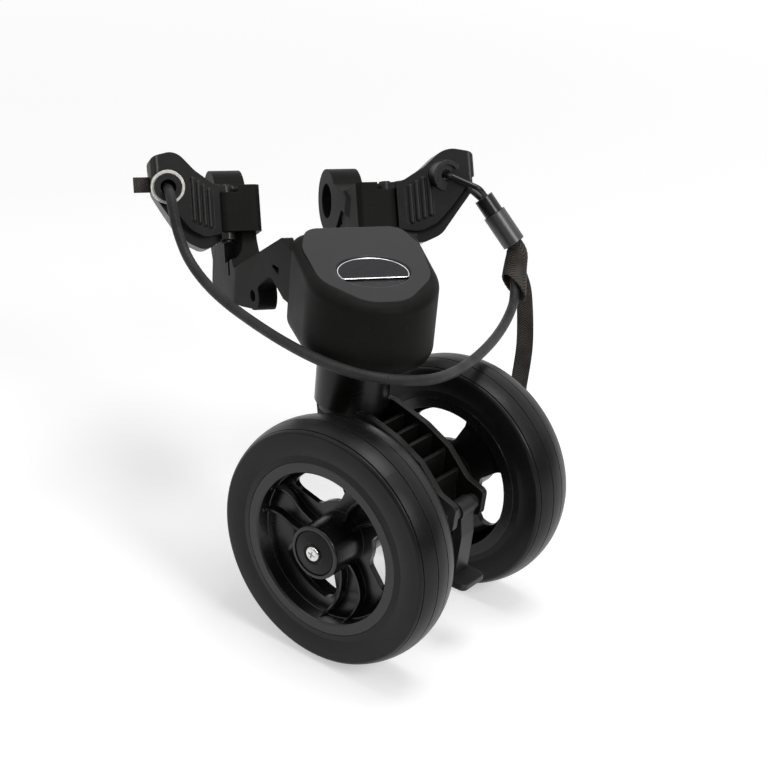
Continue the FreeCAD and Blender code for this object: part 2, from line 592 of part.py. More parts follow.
def wing(side):
    """one wing and cheek: a side outline cut to a flaring plan"""
    lug_y, lug_z = REACH, RISE
    side_points = [(10, 150), (10, 190), (HEAD_BACK + 3, 199), (126, 137), (150, 152), (172, 176), (205, 176),
                   (lug_y - 8, lug_z + 22), (lug_y + 16, lug_z + 12), (lug_y + 18, lug_z - 14), (213, 96),
                   (196, 90), (LOW_LUG[0] + 20, 112), (LOW_LUG[0] - 2, LOW_LUG[1] - LOW_LUG_R + 1),
                   (LOW_LUG[0] - 9, LOW_LUG[1] + 12), (54, 160), (30, 150)]
    rounds = [0, 0, 6, 7, 10, 8, 10, 10, 10, 10, 12, 8, 8, 4, 6, 9, 0]
    shape = slab([at(20, y, z) for y, z in side_points], rounds, V(70, 0, 0))
    lug = rod(LUG_R, at(20, lug_y, lug_z), at(90, lug_y, lug_z))
    low_lug = rod(LOW_LUG_R, at(20, *LOW_LUG), at(90, *LOW_LUG))
    shape = shape.fuse([lug, low_lug])
    plan = [(HEAD_HALF_W - WALL - 1, 0), (HEAD_HALF_W - 3, 0), (HEAD_HALF_W, HEAD_BACK - 14), (CHEEK_OUT + 4, 120),
            (CHEEK_OUT + 4, 205), (CHEEK_OUT, 225), (CHEEK_OUT, lug_y + 40), (CHEEK_IN, lug_y + 40),
            (CHEEK_IN, 190), (CHEEK_IN + 6, 160)]
    block = slab([at(x, y, 0) for x, y in plan], [0, 0, 40, 30, 6, 6, 0, 0, 6, 6], V(0, 0, 260))
    shape = shape.common(block)
    pocket_points = [(40, 172), (62, 170), (124, 120), (150, 130), (170, 158), (200, 160), (216, 130), (200, 100),
                     (120, 116), (96, 128), (84, 146), (60, 170), (40, 166)]
    hollow = slab([at(CHEEK_IN - 5, y, z) for y, z in pocket_points], [0, 4, 5, 5, 8, 5, 8, 5, 5, 5, 5, 0, 0],
                  V(CHEEK_OUT - 5 - CHEEK_IN, 0, 0))
    shape = shape.cut(hollow)
    shape = shape.cut(rod(PIVOT_R, at(0, lug_y, lug_z), at(120, lug_y, lug_z)))
    shape = shape.cut(rod(LOW_HOLE_R, at(0, *LOW_LUG), at(120, *LOW_LUG)))
    return shape if side > 0 else mirrored_x(shape)


socket = Part.makeCylinder(NECK_R + NECK_GAP, WEB_Z - HEAD_LOW + 1, at(0, 0, HEAD_LOW - 1))
bolt_hole = Part.makeCylinder(BOLT_R + 0.15, 80, at(0, 0, HEAD_LOW))
inside = dee(HEAD_HALF_W - WALL - LEDGE_W, HEAD_BACK - WALL - 4, WEB_Z + WEB_THICK, 120).cut(
    moved(Part.makeBox(400, 400, 300, V(-200, -200, -LID_T - 4)), SLOPE))
lid_seat = on_top(lid_outline(LID_GAP), LID_ROUNDS, LID_T + 20.0, 20.0)
hatch = on_top(lid_outline(-LEDGE_W), [r - LEDGE_W if r > 20 else 9 for r in LID_ROUNDS], LID_T + 8, 1.0)
EAR_POCKET = Part.makeCylinder(KNUCKLE_R + 2, 24, V(HINGE_X, HINGE_V, BLOCK_LOW - 18 + EAR_T + EAR_GAP - 6))
hinge_side = hinge_block()
hinges = [moved(hinge_side, CRADLE), mirrored_x(moved(hinge_side, CRADLE))]
ear_room = [moved(EAR_POCKET, CRADLE), mirrored_x(moved(EAR_POCKET, CRADLE))]
PIN_BORE = Part.makeCylinder(HINGE_PIN_R + BUSH_FIT, 140, V(HINGE_X, HINGE_V, BLOCK_LOW - 30))
pin_bores = [moved(PIN_BORE, CRADLE), mirrored_x(moved(PIN_BORE, CRADLE))]
head = cup.fuse([wing(1).cut(ear_room[0]), wing(-1).cut(ear_room[1])] + hinges).cut(pin_bores)
head = head.cut(socket).cut(bolt_hole).cut(inside).cut(lid_seat).cut(hatch).removeSplitter()
save("head_housing", head)

# ---- lid with its blank badge ---------------------------------------------------------------------
def oval(grow, depth, lift):
    """elliptical prism under the sloping top, about the middle of the badge's hollow"""
    edge = Part.Ellipse(V(0, BADGE_Y, lift), BADGE_HALF_X + grow, BADGE_HALF_Y + grow).toShape()
    return moved(Part.Face(Part.Wire([edge])).extrude(V(0, 0, -depth)), SLOPE)


lid = on_top(lid_outline(0), LID_ROUNDS, LID_T).fuse(oval(1.8, 3.5, -LID_T + 0.2)).cut(oval(0, 3.2, 0.5))
lid = lid.removeSplitter()
hollow_edges = [e for e in lid.Edges if abs(e.BoundBox.XLength - 2 * BADGE_HALF_X) < 0.1]
lid = lid.makeFillet(HOLLOW_ROUND, [max(hollow_edges, key=lambda e: e.BoundBox.ZMax)])
save("head_lid", lid)
below_chord = on_top([(-60, BADGE_Y - 60), (60, BADGE_Y - 60), (60, BADGE_Y + BADGE_CHORD),
                      (-60, BADGE_Y + BADGE_CHORD)], 0, 20, 10)
badge = oval(-0.6, 1.2, -1.45).cut(below_chord)
save("badge_plate", badge)

# ---- swivel bolt ------------------------------------------------------------------------------
web_top = WEB_Z + WEB_THICK
bolt_low = crown_low - FLANGE_T - WASHER_T - NUT_T - 3
bolt = rod(BOLT_R, at(0, 0, bolt_low), at(0, 0, web_top + WASHER_T)).fuse(
    hexagon(BOLT_HEAD_AF, BOLT_HEAD_T, at(0, 0, web_top + WASHER_T)))
save("swivel_bolt", bolt.removeSplitter())
save("bolt_washer", tube(WASHER_R, BOLT_R + 0.1, at(0, 0, web_top), at(0, 0, web_top + WASHER_T)))
nut_top = crown_low - FLANGE_T - WASHER_T - 0.3
nut = hexagon(BOLT_HEAD_AF, NUT_T, at(0, 0, nut_top - NUT_T)).cut(
    rod(BOLT_R + 0.02, at(0, 0, nut_top - 40), at(0, 0, nut_top + 1)))
save("swivel_nut", nut)
save("nut_washer", tube(WASHER_R, BOLT_R + 0.1, at(0, 0, nut_top), at(0, 0, nut_top + WASHER_T)))
save("thrust_ring", tube(24, CROWN_BUSH_FLANGE_R + 1, at(0, 0, NECK_TOP + 0.3), at(0, 0, WEB_Z)))


# ---- cradle arms -------------------------------------------------------------------------------
def arm_body():
    """right arm: upper and lower ears, a curved bar that rises and turns forwards at its tip"""
    far = 200.0
    root = HINGE_X + KNUCKLE_R * 0.55
    plan = [lean(root, -66, -far), lean(root, -93, -far), lean(100, -104.5, -far),
            lean(ARM_TIP_X, -126.5, -far), lean(ARM_TIP_X + 4, -112, -far), lean(129, -99, -far),
            lean(104, -87, -far)]
    bar = slab(plan, [0, 2, 60, 5, 6, 30, 40], V(0, 0, 2 * far))
    bar = bar.cut(Part.makeCylinder(KNUCKLE_R + KNUCKLE_GAP, 2 * far, lean(HINGE_X, HINGE_V, -far)))
    front = [V(root - 2, -300, BLOCK_LOW), V(96, -300, -56), V(112, -300, -50), V(128, -300, -28),
             V(ARM_TIP_X + 1, -300, -12), V(ARM_TIP_X + 4, -300, 17), V(118, -300, 25),
             V(101, -300, 10), V(84, -300, 0), V(root - 2, -300, 0)]
    face = slab(front, [0, 12, 16, 20, 8, 9, 16, 22, 12, 0], V(0, 400, 0))
    bar = bar.common(face)
    ears = [slab([lean(HINGE_X, HINGE_V - 8, u), lean(root + 8, -93.5, u), lean(root + 14, -84, u),
                  lean(HINGE_X + 6, HINGE_V + 8, u), lean(HINGE_X, HINGE_V + 8, u)], [0, 0, 0, 0, 0],
                 V(0, 0, EAR_T)).fuse(Part.makeCylinder(8, EAR_T, lean(HINGE_X, HINGE_V, u)))
            for u in (BLOCK_TOP - EAR_T, BLOCK_LOW)]
    arm = bar.fuse(ears)
    return arm.cut(Part.makeCylinder(HINGE_PIN_R + RUN, 2 * far, lean(HINGE_X, HINGE_V, -far)))


FRONT_SLOPE = 0.54             # how the arm's front swings forwards towards its tip
BAND_STEP = 5.0                # lower edge of the arm, set back behind its face
FOLD_LIMIT = 60                # degrees that an arm swings forwards
EYE_OUT = unit(V(0.08, -0.95, -0.22))


def along_eye(distance, eye=RIGHT_EYE):
    """a point on an eye's axis, measured out of its boss's front"""
    return eye + EYE_OUT * distance


def pad_window(grow):
    """rounded window in which the pad lies on the arm's front"""
    corners = [V(85 - grow, -300, -41 - grow), V(107 + grow, -300, -34 - grow), V(107 + grow, -300, 9 + grow),
               V(85 - grow, -300, -4 + grow)]
    return slab(corners, [5, 7, 7, 5], V(0, 400, 0))


def lower_front():
    """band along the lower edge of the arm's front, as a cutter"""
    corners = [V(79, -300, -80), V(160, -300, -80), V(160, -300, -2), V(139, -300, -2), V(120, -300, -27),
               V(108, -300, -40), V(94, -300, -46), V(79, -300, -42)]
    return slab(corners, [0, 0, 0, 0, 14, 14, 14, 0], V(0, 400, 0))


def rubber_pad(bar):
    """ribbed rubber pad let into the front of an arm"""
    pad = bar.common(pad_window(0)).cut(bar.translated(V(0, PAD_T, 0)))
    for x in (89, 94, 99, 104):
        v = -93 - (x - 78) * FRONT_SLOPE + 0.5
        low, high = lean(x, v, -37 + (x - 87) * 0.3), lean(x, v, -7 + (x - 87) * 0.55)
        rib = rod(RIB_H, low, high).fuse([Part.makeSphere(RIB_H, low), Part.makeSphere(RIB_H, high)])
        pad = pad.fuse(rib.cut(bar))
    return pad.removeSplitter()


arm = arm_body()
swept_block = Part.makeBox(HINGE_X - BLOCK_IN, 2 * KNUCKLE_R, BLOCK_TOP - BLOCK_LOW - 2 * EAR_T,
                           lean(BLOCK_IN, HINGE_V - KNUCKLE_R - KNUCKLE_GAP, BLOCK_LOW + EAR_T))
for fold in (35, FOLD_LIMIT):
    turned_block = swept_block.copy()
    turned_block.rotate(lean(HINGE_X, HINGE_V, 0), V(0, 0, 1), fold)
    arm = arm.cut(turned_block)
pad = rubber_pad(arm)
lower_band = arm.common(lower_front()).cut(arm.translated(V(0, BAND_STEP, 0)))
recess = arm.common(pad_window(PAD_GAP)).cut(arm.translated(V(0, PAD_T + PAD_GAP, 0)))
arm = arm.cut([recess, lower_band])
BOSS_R = EYE_RING_R - 0.6
LIP_H = 3.2
LIP_WALL = 3.8


def eye_boss(eye):
    """round boss on the arm's tip, flush with the arm's back"""
    return rod(BOSS_R, along_eye(-14, eye), along_eye(0, eye))


left_arm = arm.fuse(eye_boss(LEFT_EYE)).cut(
    [rod(GROMMET_R + GROMMET_FIT, along_eye(-60, LEFT_EYE), along_eye(40, LEFT_EYE)),
     rod(EYE_RING_R + 0.4, along_eye(0, LEFT_EYE), along_eye(40, LEFT_EYE))])
lip = tube(BOSS_R, BOSS_R - LIP_WALL, along_eye(-1), along_eye(LIP_H))
mouth_half = BOSS_R - LIP_WALL
lip = lip.cut(Part.makeBox(2 * mouth_half, 12, 30, RIGHT_EYE + V(-mouth_half, -8, -30)))
right_arm = arm.fuse([eye_boss(RIGHT_EYE), lip]).cut(rod(HOOK_EYE_R, along_eye(-60), along_eye(40)))
STUB_AT = lean(138.8, -113, LEFT_EYE.z + 4 - STUB_W / 2)
stub = Part.makeBox(STUB_LEN, STRAP_T, STUB_W, STUB_AT)
stub_slot = Part.makeBox(STUB_LEN + 20, STRAP_T + 0.2, STUB_W + 0.2, STUB_AT - V(0.1, 0.1, 0.1))
left_arm = left_arm.cut(stub_slot)
ring = tube(EYE_RING_R, GROMMET_R + GROMMET_FIT, along_eye(0.05, LEFT_EYE), along_eye(EYE_RING_T, LEFT_EYE))
grommet = rod(GROMMET_R, along_eye(-EYE_DEPTH, LEFT_EYE), along_eye(EYE_RING_T + 1, LEFT_EYE)).fuse(
    rod(GROMMET_R + 1.2, along_eye(EYE_RING_T + 0.05, LEFT_EYE), along_eye(EYE_RING_T + 2.5, LEFT_EYE)))
grommet = grommet.cut(rod(GROMMET_HOLE_R, along_eye(-60, LEFT_EYE), along_eye(40, LEFT_EYE)))
pin = Part.makeCylinder(HINGE_PIN_R, BLOCK_TOP - BLOCK_LOW + 1.6, lean(HINGE_X, HINGE_V, BLOCK_LOW - 1)).fuse(
    [Part.makeCylinder(5, 1.6, lean(HINGE_X, HINGE_V, BLOCK_TOP + 0.2)),
     Part.makeCylinder(5, 1.6, lean(HINGE_X, HINGE_V, BLOCK_LOW - 1.8))])
pin = moved(pin.removeSplitter(), CRADLE)
save("right_hinge_pin", pin)
save("left_hinge_pin", mirrored_x(pin))
save("right_arm", moved(right_arm.removeSplitter(), CRADLE))
save("left_arm", mirrored_x(moved(left_arm.removeSplitter(), CRADLE)))
right_pad = pad.cut(rod(BOSS_R + PAD_BOSS_GAP, along_eye(-20), along_eye(12)))
save("right_arm_pad", moved(right_pad, CRADLE))
save("left_arm_pad", mirrored_x(moved(pad, CRADLE)))
save("left_eye_ring", mirrored_x(moved(ring, CRADLE)))
save("left_grommet", mirrored_x(moved(grommet.removeSplitter(), CRADLE)))
save("left_strap_stub", mirrored_x(moved(stub, CRADLE)))


# ---- elastic cord: straight runs joined by arcs ---------------------------------------------------
def bend_radius(before, corner, after):
    """radius of the arc that rounds a corner of a cord's route"""
    half = (corner - before).getAngle(after - corner) / 2
    return 0.45 * min((corner - before).Length, (after - corner).Length) / math.tan(half)


def route_wire(points, radii=None):
    """open wire of straight runs and tangent arcs"""
    if radii is None:
        radii = [bend_radius(*points[i - 1:i + 2]) for i in range(1, len(points) - 1)]
    edges = []
    last = points[0]
    for corner, following, radius in zip(points[1:-1], points[2:], radii):
        back = unit(last - corner)
        ahead = unit(following - corner)
        half = back.getAngle(ahead) / 2
        inward = unit(back + ahead)
        start = corner + back * (radius / math.tan(half))
        end = corner + ahead * (radius / math.tan(half))
        middle = corner + inward * (radius / math.sin(half) - radius)
        edges.append(Part.LineSegment(last, start).toShape())
        edges.append(Part.Arc(start, middle, end).toShape())
        last = end
    edges.append(Part.LineSegment(last, points[-1]).toShape())
    return Part.Wire(edges)


def swept(points, radius, radii=None):
    """round cord or bar along a route"""
    wire = route_wire(points, radii)
    ring_wire = Part.Wire([Part.makeCircle(radius, points[0], unit(points[1] - points[0]))])
    return wire.makePipeShell([ring_wire], True, True)


def cradle_point(point, side=1):
    """a point of the leaning frame in the part's frame, mirrored for the left side"""
    carried = CRADLE.multVec(point)
    return V(side * carried.x, carried.y, carried.z)


LEFT_ROUTE = [cradle_point(along_eye(-EYE_DEPTH - 3, LEFT_EYE), -1),
              cradle_point(along_eye(EYE_RING_T + 3, LEFT_EYE), -1),
              at(-128, 118, 202), at(-127, 111, 192), at(-124, 105, 177), at(-117, 88, 158), at(-101, 55, 143),
              at(-77, 4, 137), at(-59, -38, 137), at(-43, -68, 138), at(-20, -88, 136), at(-3, -90, 134)]
RIGHT_ROUTE = [at(-3, -90, 134), at(14, -92, 132), at(41, -79, 126), at(72, -48, 118), at(105, -8, 112),
               at(136, 34, 109), at(161, 73, 110), at(171.5, 92, 117), at(174, 106, 136)]
for route in (LEFT_ROUTE, RIGHT_ROUTE):
    print("cord bends", [round(bend_radius(*route[i - 1:i + 2])) for i in range(1, len(route) - 1)],
          "length", round(route_wire(route).Length))
save("bungee_left", swept(LEFT_ROUTE, CORD_R))
save("bungee_right", swept(RIGHT_ROUTE, CORD_R))
knot = Part.makeSphere(KNOT_R, along_eye(-EYE_DEPTH - KNOT_R - 0.1, LEFT_EYE)).cut(
    rod(CORD_R + 0.05, along_eye(-EYE_DEPTH - 3, LEFT_EYE), along_eye(0, LEFT_EYE)))
save("bungee_knot", mirrored_x(moved(knot, CRADLE)))

# ---- hook at the right end ------------------------------------------------------------------
SLEEVE_TOP = lean(149, -119, -22)
SLEEVE_DIR = unit(V(0.53, 0, -0.85))
hook_points = [SLEEVE_TOP + V(0, -4.6, 0), lean(141, -130, -15), along_eye(6.5), along_eye(-EYE_DEPTH - 7.5),
               lean(145, -100, -11), SLEEVE_TOP + V(0, 4.6, 0)]
hook = swept([p for p in hook_points], HOOK_R, [8, 6, 6, 8])
hook = hook.fuse(rod(FERRULE_R, SLEEVE_TOP - SLEEVE_DIR * 1.5, SLEEVE_TOP + SLEEVE_DIR * FERRULE_LEN))
save("snap_hook", moved(hook.removeSplitter(), CRADLE))
sleeve_start = SLEEVE_TOP + SLEEVE_DIR * (FERRULE_LEN + 0.1)
sleeve_end = sleeve_start + SLEEVE_DIR * SLEEVE_LEN
sleeve = tube(SLEEVE_R, SLEEVE_R - 2.2, sleeve_start, sleeve_end).fuse(
    rod(SLEEVE_R, sleeve_start, sleeve_start + SLEEVE_DIR * 4))
save("hook_sleeve", moved(sleeve.removeSplitter(), CRADLE))


def ribbon(lines, thickness):
    """flat webbing skinned through straight cross lines given as (middle, half-width vector, normal)"""
    sections = []
    for middle, half, normal in lines:
        n = unit(normal) * (thickness / 2)
        corners = [middle + half + n, middle - half + n, middle - half - n, middle + half - n]
        sections.append(Part.makePolygon(corners + corners[:1]))
    return Part.makeLoft(sections, True, False)


sleeve_mouth = CRADLE.multVec(sleeve_end)
inside_sleeve = CRADLE.multVec(sleeve_end - SLEEVE_DIR * 16)
loop = ribbon([(inside_sleeve, V(5.5, 2.5, 3), V(0.3, 1, -0.6)), (sleeve_mouth + V(0.5, -1, -1.5), V(6, 2.6, 2.5), V(0.2, 1, -0.5)),
               (at(175, 106, 143), V(7.5, 2, 1.5), V(0.1, 1, -0.3))], 3.0)
wrap_dir = unit(RIGHT_ROUTE[-1] - RIGHT_ROUTE[-2])
wrap_top = RIGHT_ROUTE[-1] + wrap_dir * (WRAP_CLEAR + 5)
wrap_low = RIGHT_ROUTE[-1] - wrap_dir * 12.5
wrap = rod(WRAP_R, wrap_low, wrap_top).cut(rod(CORD_R + WRAP_CLEAR, wrap_low, RIGHT_ROUTE[-1] + wrap_dir * WRAP_CLEAR))
save("strap_loop", loop.fuse(wrap).removeSplitter())
tail = ribbon([(at(182.5, 104, 134), V(1, 6.5, 2), V(1, -0.15, 0)), (at(184.5, 100, 112), V(3, 6.5, 0), V(1, -0.45, 0)),
               (at(190, 96, 67), V(7, 3, 0), V(0.4, -1, 0)), (at(191, 96, 32), V(8, 3, -6), V(0.35, -1, 0))],
              STRAP_T)
save("strap_tail", tail)
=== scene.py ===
import math

import bpy
import numpy as np
from mathutils import Matrix, Vector


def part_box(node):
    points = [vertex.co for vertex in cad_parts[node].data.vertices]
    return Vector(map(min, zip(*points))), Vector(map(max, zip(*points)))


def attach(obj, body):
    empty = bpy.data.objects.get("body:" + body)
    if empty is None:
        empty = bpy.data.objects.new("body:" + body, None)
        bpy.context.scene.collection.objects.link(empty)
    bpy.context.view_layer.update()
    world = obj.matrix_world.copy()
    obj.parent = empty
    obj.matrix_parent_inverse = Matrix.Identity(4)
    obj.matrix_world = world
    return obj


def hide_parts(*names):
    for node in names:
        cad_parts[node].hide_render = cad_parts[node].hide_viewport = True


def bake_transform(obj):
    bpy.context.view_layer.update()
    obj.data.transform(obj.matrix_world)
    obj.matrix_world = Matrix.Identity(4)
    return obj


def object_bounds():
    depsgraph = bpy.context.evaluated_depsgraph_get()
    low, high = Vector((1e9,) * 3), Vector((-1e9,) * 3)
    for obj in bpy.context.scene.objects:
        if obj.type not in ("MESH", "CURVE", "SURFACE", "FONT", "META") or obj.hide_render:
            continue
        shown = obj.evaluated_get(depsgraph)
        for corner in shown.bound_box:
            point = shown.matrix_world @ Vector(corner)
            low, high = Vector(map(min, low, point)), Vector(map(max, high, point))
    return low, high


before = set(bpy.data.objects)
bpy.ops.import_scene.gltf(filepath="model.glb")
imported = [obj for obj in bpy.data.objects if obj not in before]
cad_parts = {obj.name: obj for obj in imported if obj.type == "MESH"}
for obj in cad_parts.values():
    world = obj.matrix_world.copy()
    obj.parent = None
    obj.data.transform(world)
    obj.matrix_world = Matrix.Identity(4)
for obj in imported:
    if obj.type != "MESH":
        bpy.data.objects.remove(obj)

cad_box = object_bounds()

# ---- Camera ---------------------------------------------------------------------------------
# A long lens a little above the unit and to its left, so that the front of the head, both wheels
# and the whole cradle show. It leans very slightly to one side.
LENS_MM = 78.3
SENSOR_MM = 36.0
CAMERA_SPOT = Vector((-0.3747, -1.3931, 0.5113))
CAMERA_AHEAD = Vector((0.2983, 0.8523, -0.4296)).normalized()
CAMERA_RIGHT = Vector((0.9529, -0.2913, 0.0837)).normalized()

camera_data = bpy.data.cameras.new("camera")
camera_data.lens = LENS_MM
camera_data.sensor_width = SENSOR_MM
camera = bpy.data.objects.new("camera", camera_data)
camera_up = CAMERA_RIGHT.cross(CAMERA_AHEAD)
camera.matrix_world = Matrix.Translation(CAMERA_SPOT) @ Matrix(
    (CAMERA_RIGHT, camera_up, -CAMERA_AHEAD)).transposed().to_4x4()
bpy.context.scene.collection.objects.link(camera)
bpy.context.scene.camera = camera
bpy.context.scene.view_settings.view_transform = "Standard"


# ---- Floor ----------------------------------------------------------------------------------
# One wide matt white sheet under the wheels. It glows a little for the camera and in
# reflections, more so far out, which takes it to white, and keeps the wheels' soft shadow.
FLOOR_HALF = 6.0
FLOOR_GREY = 0.72
FLOOR_GLOW = 0.45
FAR_GLOW = 0.71
FADE_FROM, FADE_TO = 0.8, 2.8


def node(tree, kind, inputs=None, **settings):
    """adds a shader node; an input is a plain value or the socket that feeds it"""
    made = tree.nodes.new("ShaderNode" + kind)
    for key, value in settings.items():
        setattr(made, key, value)
    for key, value in (inputs or {}).items():
        if isinstance(value, bpy.types.NodeSocket):
            tree.links.new(value, made.inputs[key])
        else:
            made.inputs[key].default_value = value
    return made


def seen_rays(tree):
    """1 for the rays that see the backdrop: straight, in gloss and through glass"""
    path = node(tree, "LightPath")
    gloss = node(tree, "Math", {0: path.outputs["Is Camera Ray"], 1: path.outputs["Is Glossy Ray"]},
                 operation="MAXIMUM")
    return node(tree, "Math", {0: gloss.outputs[0], 1: path.outputs["Is Transmission Ray"]},
                operation="MAXIMUM").outputs[0]


def linked(obj):
    """puts an object into the scene"""
    bpy.context.scene.collection.objects.link(obj)
    return obj


floor_z = cad_box[0][2]
floor_mesh = bpy.data.meshes.new("floor")
floor_mesh.from_pydata([(-FLOOR_HALF, -FLOOR_HALF, floor_z), (FLOOR_HALF, -FLOOR_HALF, floor_z),
                        (FLOOR_HALF, FLOOR_HALF, floor_z), (-FLOOR_HALF, FLOOR_HALF, floor_z)],
                       [], [(0, 1, 2, 3)])
floor = linked(bpy.data.objects.new("floor", floor_mesh))
floor_paint = bpy.data.materials.new("floor_white")
floor_paint.use_nodes = True
tree = floor_paint.node_tree
tree.nodes.clear()
matt = node(tree, "BsdfDiffuse", {"Color": (FLOOR_GREY, FLOOR_GREY, FLOOR_GREY, 1)})
spread = node(tree, "VectorMath", {0: node(tree, "TexCoord").outputs["Object"]}, operation="LENGTH")
glow_here = node(tree, "MapRange", {"Value": spread.outputs["Value"], "From Min": FADE_FROM,
                                    "From Max": FADE_TO, "To Min": FLOOR_GLOW, "To Max": FAR_GLOW})
glow_level = node(tree, "Math", {0: seen_rays(tree), 1: glow_here.outputs["Result"]},
                  operation="MULTIPLY")
glow = node(tree, "Emission", {"Color": (1, 1, 1, 1), "Strength": glow_level.outputs[0]})
both = node(tree, "AddShader", {0: matt.outputs[0], 1: glow.outputs[0]})
node(tree, "OutputMaterial", {"Surface": both.outputs[0]})
floor_mesh.materials.append(floor_paint)

# ---- Lights ---------------------------------------------------------------------------------
# An even pale room with three softboxes: one overhead that draws the rounded edges, a weak one
# at the left, and one over the camera's right that lights the hinges. In gloss, the white sweep
# lies behind and above the unit, and the room is dimmer on the near side.
ROOM_LEVEL = 0.40
NEAR_SIDE_GLOSS = 0.17
SWEEP_WAY = (0.0, 0.6, 0.8)
SWEEP_FROM, SWEEP_TO = -0.1, 0.55
SOFTBOXES = {
    "softbox_top": ((0.35, -0.45, 1.95), 0.9, 17.0),
    "softbox_left": ((-1.7, -0.5, 1.3), 0.9, 3.5),
    "softbox_front": ((0.75, -1.9, 1.25), 0.7, 17.0),
}
LIGHT_AIM = Vector((0.02, -0.22, -0.1))

world = bpy.data.worlds.new("room")
world.use_nodes = True
bpy.context.scene.world = world
tree = world.node_tree
tree.nodes.clear()
heading = node(tree, "TexCoord")
back_and_up = node(tree, "VectorMath", {0: heading.outputs["Generated"], 1: SWEEP_WAY},
                   operation="DOT_PRODUCT")
sweep = node(tree, "MapRange", {"Value": back_and_up.outputs["Value"], "From Min": SWEEP_FROM,
                                "From Max": SWEEP_TO, "To Min": NEAR_SIDE_GLOSS, "To Max": 1.0},
             interpolation_type="SMOOTHSTEP")
straight = node(tree, "LightPath").outputs["Is Camera Ray"]
shown = node(tree, "Math", {0: sweep.outputs["Result"], 1: straight}, operation="MAXIMUM")
level = node(tree, "MapRange", {"Value": seen_rays(tree), "To Min": ROOM_LEVEL,
                                "To Max": shown.outputs[0]})
sky = node(tree, "Background", {"Color": (1, 1, 1, 1), "Strength": level.outputs["Result"]})
node(tree, "OutputWorld", {"Surface": sky.outputs[0]})
for lamp_name, (spot, size, power) in SOFTBOXES.items():
    lamp = bpy.data.lights.new(lamp_name, "AREA")
    lamp.shape = "SQUARE"
    lamp.size = size
    lamp.energy = power
    softbox = linked(bpy.data.objects.new(lamp_name, lamp))
    softbox.location = spot
    softbox.rotation_euler = (LIGHT_AIM - Vector(spot)).to_track_quat("-Z", "Y").to_euler()


# ---- Elastic cord ---------------------------------------------------------------------------
# Black bungee cord that holds the foot of the bag: rubber strands in a braided polyester sleeve.
# It is knotted behind the left arm's eye, hangs round the front of the head and ends in a
# webbing loop under the hook. The two halves meet in front.
CORD_D = 0.0084
BRAID_YARNS = 8
BRAID_PITCH = 0.030
BRAID_RELIEF = 0.00026
YARN_CROWN, YARN_DIP = 3.2, 1.3
CORD_SIDES = 48
LEFT_STEPS, RIGHT_STEPS = 46, 58
LEFT_ROUTE = [(-0.12579, -0.08515, 0.04809), (-0.12861, -0.11804, 0.05812), (-0.128, -0.129, 0.051),
              (-0.127, -0.136, 0.041), (-0.124, -0.142, 0.026), (-0.117, -0.159, 0.007),
              (-0.101, -0.192, -0.008), (-0.077, -0.243, -0.014), (-0.059, -0.285, -0.014),
              (-0.043, -0.315, -0.013), (-0.020, -0.335, -0.015), (-0.003, -0.337, -0.017)]
RIGHT_ROUTE = [(-0.003, -0.337, -0.017), (0.014, -0.339, -0.019), (0.041, -0.326, -0.025),
               (0.072, -0.295, -0.033), (0.105, -0.255, -0.039), (0.136, -0.213, -0.042),
               (0.161, -0.174, -0.041), (0.1715, -0.155, -0.034), (0.174, -0.141, -0.015)]


def cord_line(points, steps):
    """points along the smooth line that a cord's route gives"""
    curve = bpy.data.curves.new("line", "CURVE")
    curve.dimensions = "3D"
    spline = curve.splines.new("NURBS")
    spline.points.add(len(points) - 1)
    for spot, point in zip(spline.points, points):
        spot.co = (*point, 1)
    spline.order_u = 3
    spline.use_endpoint_u = True
    spline.resolution_u = steps
    holder = bpy.data.objects.new("line", curve)
    mesh = bpy.data.meshes.new_from_object(holder)
    line = np.array([vertex.co[:] for vertex in mesh.vertices])
    bpy.data.objects.remove(holder)
    bpy.data.meshes.remove(mesh)
    bpy.data.curves.remove(curve)
    return line


def mesh_piece(name, vertices, faces, uvs=None):
    """a smooth-shaded mesh object; uvs holds one pair for each vertex"""
    mesh = bpy.data.meshes.new(name)
    mesh.from_pydata([tuple(v) for v in vertices], [], faces)
    mesh.polygons.foreach_set("use_smooth", [True] * len(mesh.polygons))
    if uvs is not None:
        layer = mesh.uv_layers.new(name="UVMap")
        for corner in mesh.loops:
            layer.data[corner.index].uv = uvs[corner.vertex_index]
    mesh.update()
    return linked(bpy.data.objects.new(name, mesh))


def braid_height(angle, along):
    """relief of a braid whose yarns cross over and under, from 0 to 1"""
    turn = angle / (2 * math.pi)
    climb = along / BRAID_PITCH
    one = BRAID_YARNS * (turn + climb)
    other = BRAID_YARNS * (turn - climb)
    over = (np.floor(one) + np.floor(other)) % 2
    across = np.where(over > 0, one, other) % 1 - 0.5
    ahead = np.where(over > 0, other, one) % 1 - 0.5
    return np.sqrt(np.clip(1 - YARN_CROWN * across ** 2, 0, 1)) * (1 - YARN_DIP * ahead ** 2)


